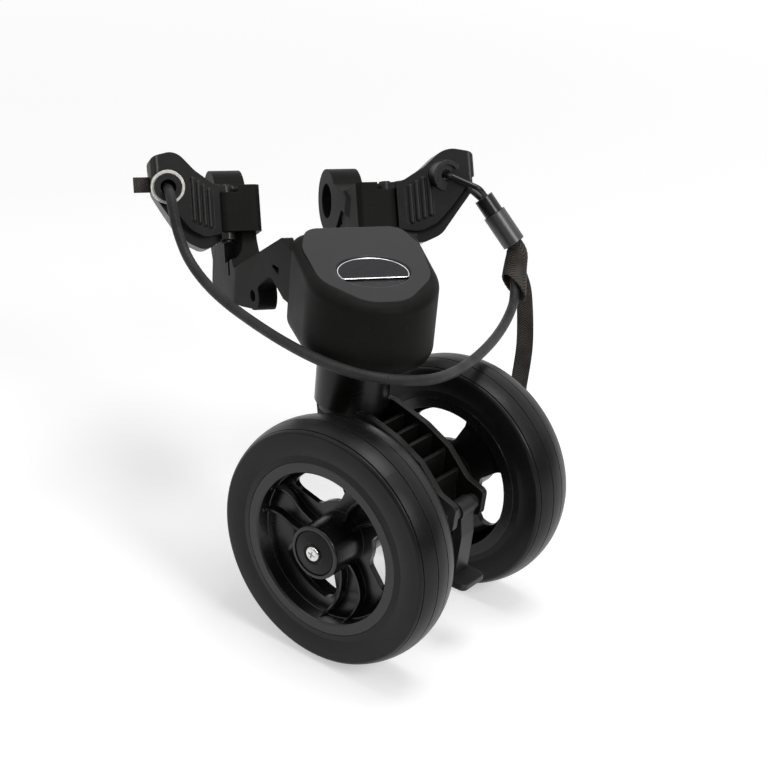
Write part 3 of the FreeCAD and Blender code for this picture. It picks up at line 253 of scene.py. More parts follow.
def braided_tube(name, line, diameter, start_normal, flip=1, closed=False):
    """braided sleeve along a line; its sides keep their heading without twisting"""
    ahead = np.gradient(line, axis=0)
    if closed:
        ahead = np.roll(line, -1, axis=0) - np.roll(line, 1, axis=0)
    ahead /= np.linalg.norm(ahead, axis=1)[:, None]
    spans = np.linalg.norm(np.diff(line, axis=0), axis=1)
    along = np.concatenate([[0], np.cumsum(spans)])
    normal = np.array(start_normal, float)
    angles = np.arange(CORD_SIDES) * 2 * math.pi / CORD_SIDES
    vertices, uvs = [], []
    for spot, heading, run in zip(line, ahead, along):
        normal = normal - heading * normal.dot(heading)
        normal /= np.linalg.norm(normal)
        side = np.cross(heading * flip, normal)
        lift = BRAID_RELIEF * (braid_height(angles, run * flip) - 1)
        radius = (diameter / 2 + lift)[:, None]
        vertices.extend(spot + radius * (np.cos(angles)[:, None] * normal
                                         + np.sin(angles)[:, None] * side))
        uvs.extend((run, angle * diameter / 2) for angle in angles)
    faces = []
    rings = len(line)
    for ring in range(rings if closed else rings - 1):
        base, top = ring * CORD_SIDES, (ring + 1) % rings * CORD_SIDES
        for i in range(CORD_SIDES):
            j = (i + 1) % CORD_SIDES
            quad = (base + i, base + j, top + j, top + i)
            faces.append(quad if flip > 0 else quad[::-1])
    if not closed:
        faces.append(tuple(range(CORD_SIDES))[::-flip])
        faces.append(tuple(range((rings - 1) * CORD_SIDES, rings * CORD_SIDES))[::flip])
    return mesh_piece(name, vertices, faces, uvs)


def new_group(name, inputs, outputs):
    """empty shader group with named sockets; returns the group and its two end nodes"""
    group = bpy.data.node_groups.new(name, "ShaderNodeTree")
    for label, kind, value in inputs:
        socket = group.interface.new_socket(label, in_out="INPUT", socket_type="NodeSocket" + kind)
        socket.default_value = value
    for label, kind in outputs:
        group.interface.new_socket(label, in_out="OUTPUT", socket_type="NodeSocket" + kind)
    return group, group.nodes.new("NodeGroupInput"), group.nodes.new("NodeGroupOutput")


def feed(tree, source, target):
    """links one socket to another"""
    tree.links.new(source, target)


def placed(tree, group, inputs=None):
    """a node group placed in a material"""
    made = tree.nodes.new("ShaderNodeGroup")
    made.node_tree = group
    for key, value in (inputs or {}).items():
        if isinstance(value, bpy.types.NodeSocket):
            tree.links.new(value, made.inputs[key])
        else:
            made.inputs[key].default_value = value
    return made


def new_material(name, shader_values):
    """material with one Principled shader; returns the material, its tree and the shader"""
    material = bpy.data.materials.new(name)
    material.use_nodes = True
    tree = material.node_tree
    shader = tree.nodes["Principled BSDF"]
    for key, value in shader_values.items():
        shader.inputs[key].default_value = value
    return material, tree, shader


# fibre: spun yarn, with hair-fine filaments and paler flecks along them, partly dust and partly painted
# glints
fibre, inside, result = new_group(
    "fibre", [("Colour", "Color", (0.02, 0.02, 0.02, 1)), ("Rubbed", "Color", (0.08, 0.08, 0.08, 1)),
              ("Rub", "Float", 0.4), ("Roughness", "Float", 0.7)],
    [("Colour", "Color"), ("Roughness", "Float"), ("Normal", "Vector")])
place = node(fibre, "TexCoord")
stretch = node(fibre, "Mapping", {"Vector": place.outputs["UV"], "Scale": (500, 3800, 1)})
filament = node(fibre, "TexNoise", {"Vector": stretch.outputs[0], "Scale": 1.0, "Detail": 2.0})
patch = node(fibre, "TexNoise", {"Vector": place.outputs["Object"], "Scale": 55.0, "Detail": 3.0})
dust_and_glint_flecks = node(fibre, "Math", {0: filament.outputs["Fac"], 1: patch.outputs["Fac"]},
                  operation="MULTIPLY")
# the Rubbed colour goes on the flecks: partly dust, partly painted glints on the yarn
rub = node(fibre, "MapRange", {"Value": dust_and_glint_flecks.outputs[0], "From Min": 0.15, "From Max": 0.42,
                               "To Min": 0.0, "To Max": inside.outputs["Rub"]})
tint = node(fibre, "Mix", {"Factor": rub.outputs[0], 6: inside.outputs["Colour"],
                           7: inside.outputs["Rubbed"]}, data_type="RGBA")
feed(fibre, tint.outputs[2], result.inputs["Colour"])
rough = node(fibre, "MapRange", {"Value": patch.outputs["Fac"], "To Min": 0.12, "To Max": -0.12})
rough_sum = node(fibre, "Math", {0: rough.outputs[0], 1: inside.outputs["Roughness"]},
                 use_clamp=True)
feed(fibre, rough_sum.outputs[0], result.inputs["Roughness"])
bump = node(fibre, "Bump", {"Height": filament.outputs["Fac"], "Strength": 0.35, "Distance": 0.0002})
feed(fibre, bump.outputs[0], result.inputs["Normal"])


def fibre_material(name, colour, rubbed, rub, roughness, sheen):
    """cloth or cord finish"""
    material, tree, shader = new_material(name, {"Sheen Weight": sheen, "Sheen Roughness": 0.4,
                                                 "Specular IOR Level": 0.3})
    skin = placed(tree, fibre, {"Colour": (*colour, 1), "Rubbed": (*rubbed, 1), "Rub": rub,
                                "Roughness": roughness})
    feed(tree, skin.outputs["Colour"], shader.inputs["Base Color"])
    feed(tree, skin.outputs["Roughness"], shader.inputs["Roughness"])
    feed(tree, skin.outputs["Normal"], shader.inputs["Normal"])
    return material


def finish_with(piece, material):
    """gives a piece one material for its whole surface"""
    piece.data.materials.clear()
    piece.data.materials.append(material)


# its paler second colour goes on flecks that are partly dust and partly painted glints on the yarn
cord_sleeve = fibre_material("cord_sleeve", (0.0085, 0.0085, 0.0092), (0.034, 0.034, 0.035), rub=0.7,
                             roughness=0.55, sheen=0.05)
UP = (0, 0, 1)
left_line = cord_line(LEFT_ROUTE, LEFT_STEPS)
right_line = cord_line(RIGHT_ROUTE, RIGHT_STEPS)
left_cord = braided_tube("elastic_cord_left", left_line[::-1], CORD_D, UP, flip=-1)
right_cord = braided_tube("elastic_cord_right", right_line, CORD_D, UP)
for half_cord in (left_cord, right_cord):
    finish_with(half_cord, cord_sleeve)
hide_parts("bungee_left")
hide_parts("bungee_right")
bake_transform(left_cord)
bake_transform(right_cord)

# ---- Knot -----------------------------------------------------------------------------------
# The cord's left end, of the same braided cord, pulled tight in an overhand knot behind the arm.
# Nothing else holds it: it is too big to slip back through the grommet.
KNOT_TUBE_D = 0.0072
KNOT_TURN = 0.0034
KNOT_STEPS = 160
knot_low, knot_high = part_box("bungee_knot")
knot_middle = (Vector(knot_low) + Vector(knot_high)) / 2
knot_axis = (Vector(LEFT_ROUTE[0]) - Vector(LEFT_ROUTE[1])).normalized()
knot_turned = knot_axis.to_track_quat("Z", "Y").to_matrix()
steps = np.linspace(0, 2 * math.pi, KNOT_STEPS, endpoint=False)
trefoil = np.stack([(2 + np.cos(3 * steps)) * np.cos(2 * steps),
                    (2 + np.cos(3 * steps)) * np.sin(2 * steps), np.sin(3 * steps)], axis=1) * KNOT_TURN
knot_line = np.array([knot_turned @ Vector(p) + knot_middle for p in trefoil])
knot = braided_tube("cord_knot", knot_line, KNOT_TUBE_D, tuple(knot_axis), closed=True)
finish_with(knot, cord_sleeve)
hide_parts("bungee_knot")
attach(knot, "left_cradle_arm")

# ---- Webbing --------------------------------------------------------------------------------
# Black herringbone polyester webbing: a short doubled loop out of the hook's sleeve with the
# cord's end sewn into it, a loose tail that hangs below, and the cut end of another strap.
TAIL_THICK = 0.0018
CHEVRON_W = 0.0140
CHEVRON_STEP = 0.0024
CHEVRON_RISE = 2.6
WEAVE_RELIEF = 0.00022
WEAVE_GRID = 0.0004
EDGE_THINNING = 0.35


def smooth_stations(stations, count):
    """cross lines spaced along a smooth curve through the given ones"""
    table = np.array([[*m, *h, *n] for m, h, n in stations], float)
    padded = np.vstack([2 * table[0] - table[1], table, 2 * table[-1] - table[-2]])
    rows = []
    for t in np.linspace(0, len(table) - 1 - 1e-9, count):
        i = int(t)
        f = t - i
        a, b, c, d = padded[i:i + 4]
        rows.append(0.5 * (2 * b + (c - a) * f + (2 * a - 5 * b + 4 * c - d) * f ** 2
                           + (3 * b - a - 3 * c + d) * f ** 3))
    return np.array(rows)


def webbing(name, stations, thickness):
    """woven strap through cross lines given as (middle, half width, normal), with its relief"""
    rough_length = sum((Vector(b[0]) - Vector(a[0])).length for a, b in zip(stations, stations[1:]))
    rows = smooth_stations(stations, int(rough_length / WEAVE_GRID) + 2)
    middles, halves, normals = rows[:, 0:3], rows[:, 3:6], rows[:, 6:9]
    normals = normals / np.linalg.norm(normals, axis=1)[:, None]
    runs = np.concatenate([[0], np.cumsum(np.linalg.norm(np.diff(middles, axis=0), axis=1))])
    widest = 2 * np.linalg.norm(halves, axis=1).max()
    across = np.linspace(-1, 1, int(widest / WEAVE_GRID) | 1)
    count = len(across)
    vertices, uvs = [], []
    for middle, half, normal, run in zip(middles, halves, normals, runs):
        reach = across * np.linalg.norm(half)
        chevron = np.abs((reach / CHEVRON_W) % 1 - 0.5) * 2
        weave = WEAVE_RELIEF * np.cos(2 * math.pi * (run / CHEVRON_STEP + chevron * CHEVRON_RISE))
        body = thickness / 2 * (1 - EDGE_THINNING * np.abs(across) ** 10) + weave - WEAVE_RELIEF
        upper = middle + across[:, None] * half + body[:, None] * normal
        lower = middle + across[:, None] * half - body[:, None] * normal
        vertices.extend(upper)
        vertices.extend(lower[::-1])
        uvs.extend((run, r) for r in reach)
        uvs.extend((run, r) for r in reach[::-1])
    ring = 2 * count
    faces = []
    for row in range(len(rows) - 1):
        for i in range(ring):
            j = (i + 1) % ring
            faces.append((row * ring + j, row * ring + i, (row + 1) * ring + i, (row + 1) * ring + j))
    last = (len(rows) - 1) * ring
    for i in range(count - 1):
        mate = ring - 1 - i
        faces.append((i, i + 1, mate - 1, mate))
        faces.append((last + i + 1, last + i, last + mate, last + mate - 1))
    return mesh_piece(name, vertices, faces, uvs), float(runs[-1]), float(widest)


def chevron_cloth(name, colour, painted_groove_shade, rubbed, rub, roughness, sheen):
    """webbing finish: the fibre effect, with painted shade in the grooves between the chevrons of the
    weave
    """
    material = fibre_material(name, colour, rubbed, rub, roughness, sheen)
    tree = material.node_tree
    shader = tree.nodes["Principled BSDF"]
    flat = node(tree, "SeparateXYZ", {0: node(tree, "TexCoord").outputs["UV"]})
    column = node(tree, "Math", {0: flat.outputs["Y"], 1: CHEVRON_W}, operation="DIVIDE")
    part = node(tree, "Math", {0: column.outputs[0]}, operation="FRACT")
    middle = node(tree, "Math", {0: part.outputs[0], 1: 0.5}, operation="SUBTRACT")
    slant = node(tree, "Math", {0: middle.outputs[0]}, operation="ABSOLUTE")
    steps = node(tree, "Math", {0: flat.outputs["X"], 1: CHEVRON_STEP}, operation="DIVIDE")
    phase = node(tree, "Math", {0: slant.outputs[0], 1: 2 * CHEVRON_RISE, 2: steps.outputs[0]},
                 operation="MULTIPLY_ADD")
    turn = node(tree, "Math", {0: phase.outputs[0], 1: 2 * math.pi}, operation="MULTIPLY")
    wave = node(tree, "Math", {0: turn.outputs[0]}, operation="COSINE")
    # painted shade: the second colour goes where the weave's relief dips
    deep = node(tree, "MapRange", {"Value": wave.outputs[0], "From Min": 0.6, "From Max": -0.6})
    cloth = shader.inputs["Base Color"].links[0].from_socket
    tint = node(tree, "Mix", {"Factor": deep.outputs[0], 6: cloth, 7: (*painted_groove_shade, 1)}, data_type="RGBA")
    feed(tree, tint.outputs[2], shader.inputs["Base Color"])
    return material


# the second colour is painted shade in the weave's grooves; the third goes on flecks, partly dust and
# partly painted glints
webbing_cloth = chevron_cloth("webbing_cloth", (0.036, 0.029, 0.025), (0.003, 0.0025, 0.002),
                              (0.12, 0.10, 0.085), rub=0.8, roughness=0.66, sheen=0.08)

# the tail, let into the loop's wall at its top and cut off slanting
TAIL_STATIONS = [((0.1785, -0.1430, -0.014), (0.0045, -0.0010, 0.0004), (-0.25, -1, 0)),
                 ((0.1835, -0.1465, -0.036), (0.0066, -0.0018, 0), (-0.27, -1, 0)),
                 ((0.1885, -0.1500, -0.082), (0.0072, -0.0020, -0.0010), (-0.28, -1, 0)),
                 ((0.1878, -0.1505, -0.1235), (0.0072, -0.0020, -0.0042), (-0.28, -1, 0))]
tail, tail_length, tail_width = webbing("webbing_tail", TAIL_STATIONS, TAIL_THICK)
finish_with(tail, webbing_cloth)
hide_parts("strap_tail")
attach(tail, "right_cradle_arm")

# the loop: an open folded tube from inside the hook's sleeve down round the cord's end; each
# section gives its middle, its half width and depth, and how far its side and front run on
LEAN = math.radians(30)
CRADLE = Matrix.Rotation(-LEAN, 3, "X")
SLEEVE_LENGTH = 0.0461
SLEEVE_DIR = CRADLE @ Vector((0.53, 0, -0.85)).normalized()
SLEEVE_MOUTH = CRADLE @ Vector((0.149, -0.119, -0.022)) + SLEEVE_DIR * SLEEVE_LENGTH
WEB_WALL = 0.0017
LOOP_SIDES = 96
LOOP_RINGS = 110
LINING_RINGS = 45
TUCK = 0.012
LOOP_FACE = Vector((0.90, -0.26, 0.30))
cord_way = (Vector(RIGHT_ROUTE[-1]) - Vector(RIGHT_ROUTE[-2])).normalized()
cord_end = Vector(RIGHT_ROUTE[-1])
LOOP_SECTIONS = [(SLEEVE_MOUTH - SLEEVE_DIR * TUCK, 0.0062, 0.0026, 0, 0),
                 (SLEEVE_MOUTH, 0.0070, 0.0034, 0, 0),
                 (SLEEVE_MOUTH * 0.5 + cord_end * 0.5 + Vector((0.0022, 0, 0.003)),
                  0.0092, 0.0048, 0.002, 0),
                 (cord_end + Vector((0.0006, 0, 0.001)), 0.0104, 0.0068, 0.004, -0.002),
                 (cord_end - cord_way * 0.0165 - Vector((0.0012, 0, 0)), 0.0114, 0.0086, 0.009, -0.005)]
loop_rows = smooth_stations([(m, (a, b, c), (d, 0, 1)) for m, a, b, c, d in LOOP_SECTIONS], LOOP_RINGS)
loop_path = loop_rows[:, 0:3]
loop_ahead = np.gradient(loop_path, axis=0)
loop_runs = np.concatenate([[0], np.cumsum(np.linalg.norm(np.diff(loop_path, axis=0), axis=1))])
rings, uvs = [], []
loop_angles = np.arange(LOOP_SIDES) * 2 * math.pi / LOOP_SIDES
for inner in (False, True):
    order = range(LOOP_RINGS)[:-1 - LINING_RINGS:-1] if inner else range(LOOP_RINGS)
    for i in order:
        ahead = Vector(loop_ahead[i]).normalized()
        broad = (LOOP_FACE - ahead * LOOP_FACE.dot(ahead)).normalized()
        deep = ahead.cross(broad)
        half_broad, half_deep = loop_rows[i, 3:5] - (WEB_WALL if inner else 0)
        reach = loop_angles * (half_broad + half_deep) / 2
        chevron = np.abs((reach / CHEVRON_W) % 1 - 0.5) * 2
        wave = np.cos(2 * math.pi * (loop_runs[i] / CHEVRON_STEP + chevron * CHEVRON_RISE))
        weave = WEAVE_RELIEF * (wave - 1) * (not inner)
        slant = np.cos(loop_angles) * loop_rows[i, 5] + np.sin(loop_angles) * loop_rows[i, 6]
        rings.append(loop_path[i] + np.outer(np.cos(loop_angles) * (half_broad + weave), broad)
                     + np.outer(np.sin(loop_angles) * (half_deep + weave), deep)
                     + np.outer(slant, ahead))
        uvs.extend((loop_runs[i], r) for r in reach)
faces = []
for ring in range(len(rings) - 1):
    for i in range(LOOP_SIDES):
        j = (i + 1) % LOOP_SIDES
        low, top = ring * LOOP_SIDES, (ring + 1) * LOOP_SIDES
        faces.append((low + i, low + j, top + j, top + i))
faces.append(tuple(range(LOOP_SIDES))[::-1])
faces.append(tuple(range((len(rings) - 1) * LOOP_SIDES, len(rings) * LOOP_SIDES)))
loop = mesh_piece("webbing_loop", np.concatenate(rings), faces, uvs)

# the cut end of the other strap, let into the left arm's tip
STUB_X = (-0.1388, -0.146, -0.1538)
STUB_Y, STUB_Z, STUB_HALF_W = -0.1121, -0.003, 0.0064
STUB_STATIONS = [(CRADLE @ Vector((x, STUB_Y, STUB_Z)), tuple(CRADLE @ Vector((0, 0, STUB_HALF_W))),
                  tuple(CRADLE @ Vector((0, 1, 0)))) for x in STUB_X]
stub, stub_length, stub_width = webbing("webbing_end", STUB_STATIONS, TAIL_THICK)
for strap, node_name, body in ((loop, "strap_loop", "right_cradle_arm"),
                               (stub, "left_strap_stub", "left_cradle_arm")):
    finish_with(strap, webbing_cloth)
    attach(strap, body)
    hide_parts(node_name)

# ---- Cradle arms ----------------------------------------------------------------------------
# The two arms that hold the bag's foot, injection moulded in black glass-filled nylon with a fine
# spark-eroded grain, each hung on its hinge pin. Their edges are rubbed paler.

# skin: grain, mottle, scuffs and rubbed edges of a moulded or cast surface
skin_group, inside, result = new_group(
    "moulded_skin", [("Colour", "Color", (0.02, 0.02, 0.02, 1)),
                     ("Rubbed", "Color", (0.08, 0.08, 0.08, 1)), ("Rub", "Float", 0.5),
                     ("Roughness", "Float", 0.4), ("Unevenness", "Float", 0.15),
                     ("Grain Scale", "Float", 2400.0), ("Grain Depth", "Float", 0.1),
                     ("Edge Radius", "Float", 0.0008)],
    [("Colour", "Color"), ("Roughness", "Float"), ("Normal", "Vector")])
place = node(skin_group, "TexCoord")
grain = node(skin_group, "TexNoise", {"Vector": place.outputs["Object"],
                                      "Scale": inside.outputs["Grain Scale"], "Detail": 3.0,
                                      "Roughness": 0.6})
mottle = node(skin_group, "TexNoise", {"Vector": place.outputs["Object"], "Scale": 26.0, "Detail": 5.0,
                                       "Roughness": 0.62})
drift = node(skin_group, "TexNoise", {"Vector": place.outputs["Object"], "Scale": 9.0, "Detail": 2.0})
scuff_place = node(skin_group, "Mapping", {"Vector": place.outputs["Object"], "Rotation": (0.4, 0.5, 0.8),
                                           "Scale": (30, 900, 240)})
scuffs = node(skin_group, "TexNoise", {"Vector": scuff_place.outputs[0], "Scale": 1.0, "Detail": 1.0})
scuff_mask = node(skin_group, "MapRange", {"Value": scuffs.outputs["Fac"], "From Min": 0.68,
                                           "From Max": 0.76})
soft = node(skin_group, "Bevel", {"Radius": inside.outputs["Edge Radius"]}, samples=6)
flat = node(skin_group, "NewGeometry")
facing = node(skin_group, "VectorMath", {0: soft.outputs[0], 1: flat.outputs["Normal"]},
              operation="DOT_PRODUCT")
edge = node(skin_group, "MapRange", {"Value": facing.outputs["Value"], "From Min": 0.995,
                                     "From Max": 0.90})
edge_break = node(skin_group, "MapRange", {"Value": mottle.outputs["Fac"], "From Min": 0.35,
                                           "From Max": 0.65, "To Min": 0.25, "To Max": 1.0})
edge_mask = node(skin_group, "Math", {0: edge.outputs[0], 1: edge_break.outputs[0]},
                 operation="MULTIPLY")
cloud = node(skin_group, "MapRange", {"Value": mottle.outputs["Fac"], "From Min": 0.35, "From Max": 0.8,
                                      "To Min": 0.0, "To Max": 0.35})
scuffed = node(skin_group, "Math", {0: scuff_mask.outputs[0], 1: 0.35, 2: cloud.outputs[0]},
               operation="MULTIPLY_ADD")
worn = node(skin_group, "Math", {0: edge_mask.outputs[0], 1: scuffed.outputs[0]}, operation="ADD",
            use_clamp=True)
worn_level = node(skin_group, "Math", {0: worn.outputs[0], 1: inside.outputs["Rub"]},
                  operation="MULTIPLY")
tint = node(skin_group, "Mix", {"Factor": worn_level.outputs[0], 6: inside.outputs["Colour"],
                                7: inside.outputs["Rubbed"]}, data_type="RGBA")
feed(skin_group, tint.outputs[2], result.inputs["Colour"])
uneven = node(skin_group, "Math", {0: mottle.outputs["Fac"], 1: drift.outputs["Fac"]},
              operation="ADD")
uneven_mid = node(skin_group, "Math", {0: uneven.outputs[0], 1: 1.0}, operation="SUBTRACT")
rough_shift = node(skin_group, "Math", {0: uneven_mid.outputs[0], 1: inside.outputs["Unevenness"],
                                        2: inside.outputs["Roughness"]},
                   operation="MULTIPLY_ADD", use_clamp=True)
feed(skin_group, rough_shift.outputs[0], result.inputs["Roughness"])
relief = node(skin_group, "Bump", {"Height": grain.outputs["Fac"],
                                   "Strength": inside.outputs["Grain Depth"], "Distance": 0.0004,
                                   "Normal": soft.outputs[0]})
feed(skin_group, relief.outputs[0], result.inputs["Normal"])


def skin_material(name, colour, rubbed, rub, roughness, uneven=0.15, grain_scale=2400.0,
                  grain_depth=0.12, edge_radius=0.0008, specular=0.4):
    """moulded plastic or rubber finish"""
    material, tree, shader = new_material(name, {"Specular IOR Level": specular})
    skin = placed(tree, skin_group, {"Colour": (*colour, 1), "Rubbed": (*rubbed, 1), "Rub": rub,
                                     "Roughness": roughness, "Unevenness": uneven,
                                     "Grain Scale": grain_scale, "Grain Depth": grain_depth,
                                     "Edge Radius": edge_radius})
    feed(tree, skin.outputs["Colour"], shader.inputs["Base Color"])
    feed(tree, skin.outputs["Roughness"], shader.inputs["Roughness"])
    feed(tree, skin.outputs["Normal"], shader.inputs["Normal"])
    return material


arm_nylon = skin_material("arm_nylon", (0.0062, 0.0060, 0.0058), (0.045, 0.043, 0.041), rub=0.5,
                          roughness=0.33, uneven=0.2, specular=0.4)
for side in ("left", "right"):
    finish_with(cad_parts[side + "_arm"], arm_nylon)

# ---- Arm pads -------------------------------------------------------------------------------
# Soft black rubber pads with upright ribs that grip the bag, moulded by themselves and pressed
# into a pocket in the front of each arm.
pad_rubber = skin_material("pad_rubber", (0.0068, 0.0065, 0.0062), (0.05, 0.047, 0.044), rub=0.55,
                           roughness=0.42, uneven=0.16, grain_scale=1500.0, grain_depth=0.2,
                           specular=0.3)
for side in ("left", "right"):
    finish_with(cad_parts[side + "_arm_pad"], pad_rubber)

# ---- Eye ring and grommet -------------------------------------------------------------------
# A bright turned ring let into the boss round the left arm's eye, and the black moulded grommet
# pressed through it, which guides the cord.

# metal: drawn or plated metal with fine scratches and dull patches
metal_group, inside, result = new_group(
    "plated_metal", [("Colour", "Color", (0.7, 0.7, 0.7, 1)), ("Dull", "Color", (0.4, 0.4, 0.4, 1)),
                     ("Roughness", "Float", 0.3), ("Edge Radius", "Float", 0.0003)],
    [("Colour", "Color"), ("Roughness", "Float"), ("Normal", "Vector")])
place = node(metal_group, "TexCoord")
patches = node(metal_group, "TexNoise", {"Vector": place.outputs["Object"], "Scale": 180.0,
                                         "Detail": 4.0})
hair_place = node(metal_group, "Mapping", {"Vector": place.outputs["Object"], "Rotation": (0.3, 0.7, 0.2),
                                           "Scale": (200, 5200, 800)})
hairlines = node(metal_group, "TexNoise", {"Vector": hair_place.outputs[0], "Scale": 1.0,
                                           "Detail": 2.0})
dull = node(metal_group, "MapRange", {"Value": patches.outputs["Fac"], "From Min": 0.4,
                                      "From Max": 0.75})
tint = node(metal_group, "Mix", {"Factor": dull.outputs[0], 6: inside.outputs["Colour"],
                                 7: inside.outputs["Dull"]}, data_type="RGBA")
feed(metal_group, tint.outputs[2], result.inputs["Colour"])
rough = node(metal_group, "MapRange", {"Value": hairlines.outputs["Fac"], "To Min": -0.1,
                                       "To Max": 0.12})
rough_sum = node(metal_group, "Math", {0: rough.outputs[0], 1: inside.outputs["Roughness"]},
                 use_clamp=True)
feed(metal_group, rough_sum.outputs[0], result.inputs["Roughness"])
soft = node(metal_group, "Bevel", {"Radius": inside.outputs["Edge Radius"]}, samples=6)
bump = node(metal_group, "Bump", {"Height": hairlines.outputs["Fac"], "Strength": 0.08,
                                  "Distance": 0.0001, "Normal": soft.outputs[0]})
feed(metal_group, bump.outputs[0], result.inputs["Normal"])


def metal_material(name, colour, dull_colour, roughness, edge_radius=0.0003):
    """plated or bare metal finish"""
    material, tree, shader = new_material(name, {"Metallic": 1.0})
    skin = placed(tree, metal_group, {"Colour": (*colour, 1), "Dull": (*dull_colour, 1),
                                      "Roughness": roughness, "Edge Radius": edge_radius})
    feed(tree, skin.outputs["Colour"], shader.inputs["Base Color"])
    feed(tree, skin.outputs["Roughness"], shader.inputs["Roughness"])
    feed(tree, skin.outputs["Normal"], shader.inputs["Normal"])
    return material


ring_metal = metal_material("ring_metal", (0.93, 0.90, 0.85), (0.70, 0.66, 0.60), roughness=0.42)
grommet_plastic = skin_material("grommet_plastic", (0.012, 0.012, 0.012), (0.06, 0.06, 0.06), rub=0.4,
                                roughness=0.3)
finish_with(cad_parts["left_eye_ring"], ring_metal)
finish_with(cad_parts["left_grommet"], grommet_plastic)

# ---- Hook and its sleeve --------------------------------------------------------------------
# The hook is one black acetal moulding snapped through the right arm's eye; the sleeve below
# it is a grey-black tube that the webbing is pulled up into.
hook_plastic = skin_material("hook_plastic", (0.0055, 0.0055, 0.0055), (0.05, 0.05, 0.05), rub=0.4,
                             roughness=0.22, uneven=0.1)
sleeve_plastic = skin_material("sleeve_plastic", (0.012, 0.012, 0.014), (0.08, 0.08, 0.085), rub=0.4,
                               roughness=0.38, uneven=0.03, grain_depth=0.04, specular=1.0)
finish_with(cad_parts["snap_hook"], hook_plastic)
finish_with(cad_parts["hook_sleeve"], sleeve_plastic)

# ---- Hinge pins -----------------------------------------------------------------------------
# Blackened steel pins with flat heads, one for each arm, riveted through the arm's ears and the
# head's knuckle between them.
black_steel = metal_material("black_steel", (0.045, 0.045, 0.047), (0.03, 0.03, 0.03), roughness=0.42)
for side in ("left", "right"):
    finish_with(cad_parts[side + "_hinge_pin"], black_steel)

# ---- Head housing ---------------------------------------------------------------------------
# The swivel's cup, the two wings that run back to the frame and the arms' knuckles are one
# thick moulding in black nylon, with a satin face and rubbed corners.
head_nylon = skin_material("head_nylon", (0.0068, 0.0065, 0.0061), (0.045, 0.042, 0.040), rub=0.45,
                           roughness=0.50, uneven=0.2, grain_scale=2100.0, grain_depth=0.14,
                           edge_radius=0.0012, specular=0.06)
finish_with(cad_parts["head_housing"], head_nylon)

# ---- Lid and badge --------------------------------------------------------------------------
# A separate snap-in lid closes the cup, in a slightly smoother black nylon, with a hollow for a
# badge. The badge is a dark polished plate glued into the hollow, with nothing on it.
lid_nylon = skin_material("lid_nylon", (0.0075, 0.0075, 0.0080), (0.050, 0.050, 0.053), rub=0.4,
                          roughness=0.36, uneven=0.14, grain_scale=2600.0, grain_depth=0.10,
                          specular=0.32)
badge_metal = metal_material("badge_metal", (0.028, 0.028, 0.031), (0.022, 0.022, 0.024),
                             roughness=0.2)
badge_bright = metal_material("badge_bright", (0.80, 0.80, 0.82), (0.55, 0.55, 0.57), roughness=0.16,
                              edge_radius=0.0002)
finish_with(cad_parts["head_lid"], lid_nylon)
finish_with(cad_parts["badge_plate"], badge_metal)

# a polished bead runs round the plate's edge: an oval cut off straight along its lower side
BEAD_R = 0.00055
BEAD_SIDES = 12
BEAD_SINK = 0.0014
BEND_STEPS, CHORD_STEPS = 72, 40
LID_MIDDLE = (0, -0.247, 0.049)
LID_SLOPE = math.radians(11)
BADGE_MIDDLE_Y, BADGE_HALF_X, BADGE_HALF_Y, BADGE_CHORD_Y = -0.028, 0.0279, 0.0199, -0.0355
lid_plane = Matrix.Translation(LID_MIDDLE) @ Matrix.Rotation(LID_SLOPE, 4, "X")
chord_turn = math.asin((BADGE_CHORD_Y - BADGE_MIDDLE_Y) / BADGE_HALF_Y)
bead_spots = [(BADGE_HALF_X * math.cos(t), BADGE_MIDDLE_Y + BADGE_HALF_Y * math.sin(t))
              for t in np.linspace(chord_turn, math.pi - chord_turn, BEND_STEPS)]
chord_ends = bead_spots[-1][0], bead_spots[0][0]
bead_spots += [(x, BADGE_CHORD_Y) for x in np.linspace(*chord_ends, CHORD_STEPS)[1:-1]]
bead_points = []
for i, (x, y) in enumerate(bead_spots):
    before, after = bead_spots[i - 1], bead_spots[(i + 1) % len(bead_spots)]
    along = Vector((after[0] - before[0], after[1] - before[1], 0)).normalized()
    out = along.cross(Vector((0, 0, 1)))
    for turn in np.linspace(0, 2 * math.pi, BEAD_SIDES, endpoint=False):
        bead_points.append(lid_plane @ (Vector((x, y, -BEAD_SINK)) + out * BEAD_R * math.cos(turn)
                                        + Vector((0, 0, BEAD_R * math.sin(turn)))))
bead_faces = []
for i in range(len(bead_spots)):
    here, ahead = i * BEAD_SIDES, (i + 1) % len(bead_spots) * BEAD_SIDES
    for k in range(BEAD_SIDES):
        j = (k + 1) % BEAD_SIDES
        bead_faces.append((here + k, ahead + k, ahead + j, here + j))
badge_bead = mesh_piece("badge_bead", bead_points, bead_faces)
finish_with(badge_bead, badge_bright)
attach(badge_bead, "head")

# ---- Swivel bolt and bushes -----------------------------------------------------------------
# A zinc-plated steel bolt with its nut and washers hangs the leg under the head. The leg turns in
# two flanged bushes of pale acetal, with a thrust ring of the same between leg and head.
zinc_steel = metal_material("zinc_steel", (0.52, 0.52, 0.50), (0.30, 0.30, 0.29), roughness=0.34)
bush_acetal = skin_material("bush_acetal", (0.42, 0.41, 0.38), (0.55, 0.54, 0.50), rub=0.4,
                            roughness=0.38)
for name in ("swivel_bolt", "bolt_washer", "swivel_nut", "nut_washer"):
    finish_with(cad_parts[name], zinc_steel)
for name in ("swivel_bush_lower", "swivel_bush_upper", "thrust_ring"):
    finish_with(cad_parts[name], bush_acetal)

# ---- Trailing leg ---------------------------------------------------------------------------
# One ribbed moulding in dull black nylon: a round neck that turns in the head, two rails with
# cross ribs between them, and the boss that carries the axle.
# its colour is set darker than the head's, as painted shade for the neck in shadow under the head
leg_nylon = skin_material("leg_nylon", (0.0040, 0.0037, 0.0034), (0.030, 0.028, 0.026), rub=0.45,
                          roughness=0.30, uneven=0.18, edge_radius=0.0010, specular=0.25)
finish_with(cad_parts["trailing_leg"], leg_nylon)

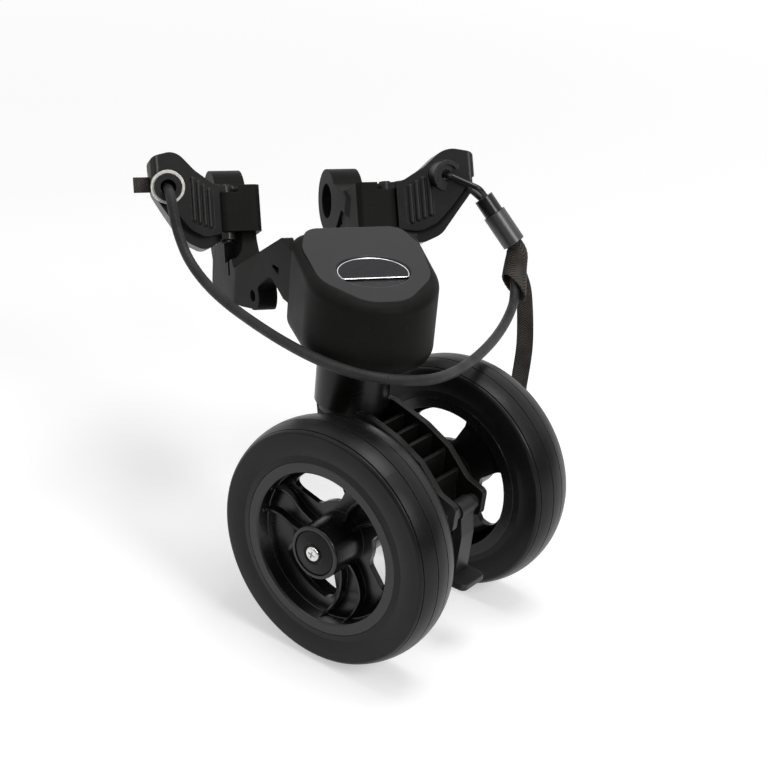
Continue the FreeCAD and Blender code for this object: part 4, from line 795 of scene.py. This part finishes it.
# ---- Foot brake -----------------------------------------------------------------------------
# A small moulded pedal of black nylon that tilts on a steel pin between the leg's rails, kept in
# the middle by a spacer on each side.
pedal_nylon = skin_material("pedal_nylon", (0.0085, 0.0083, 0.0082), (0.06, 0.058, 0.057), rub=0.6,
                            roughness=0.38, specular=0.3)
finish_with(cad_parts["brake_pedal"], pedal_nylon)
finish_with(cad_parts["brake_spacers"], pedal_nylon)
finish_with(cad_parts["brake_pin"], zinc_steel)

# ---- Wheel rims -----------------------------------------------------------------------------
# Three-spoke rims moulded in glossy black nylon, each with a bowl behind its ribbed spokes and a
# long hub that covers the axle.
# the colour is set darker than the head's, as painted shade for the bowl deep behind the spokes
rim_nylon = skin_material("rim_nylon", (0.0040, 0.0039, 0.0037), (0.028, 0.027, 0.026), rub=0.4,
                          roughness=0.26, uneven=0.14, edge_radius=0.0010, specular=0.45)
for wheel in ("near", "far"):
    finish_with(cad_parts[wheel + "_rim"], rim_nylon)

# ---- Tyres ----------------------------------------------------------------------------------
# Solid tyres in a satin black foam rubber with four fine grooves, stretched over the rims, and
# dusty where they have rolled.
tyre_rubber = skin_material("tyre_rubber", (0.0062, 0.0059, 0.0060), (0.036, 0.034, 0.034), rub=0.5,
                            roughness=0.33, uneven=0.22, grain_scale=1700.0, grain_depth=0.16,
                            edge_radius=0.0006, specular=0.2)
for wheel in ("near", "far"):
    finish_with(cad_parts[wheel + "_tyre"], tyre_rubber)

# ---- Axle, hub bushes, caps and screws ------------------------------------------------------
# A zinc-plated steel axle runs through an acetal bush at each end of each hub. A dished black cap
# closes each of its ends, held by a bright cross-head screw.
cap_plastic = skin_material("cap_plastic", (0.0065, 0.0063, 0.006), (0.05, 0.048, 0.046), rub=0.5,
                            roughness=0.34, specular=0.15)
screw_zinc = metal_material("screw_zinc", (0.72, 0.73, 0.72), (0.5, 0.5, 0.5), roughness=0.26,
                            edge_radius=0.0002)
for wheel in ("near", "far"):
    finish_with(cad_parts[wheel + "_end_cap"], cap_plastic)
    finish_with(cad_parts[wheel + "_cap_screw"], screw_zinc)
    finish_with(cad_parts[wheel + "_hub_bushes"], bush_acetal)
finish_with(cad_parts["axle"], zinc_steel)
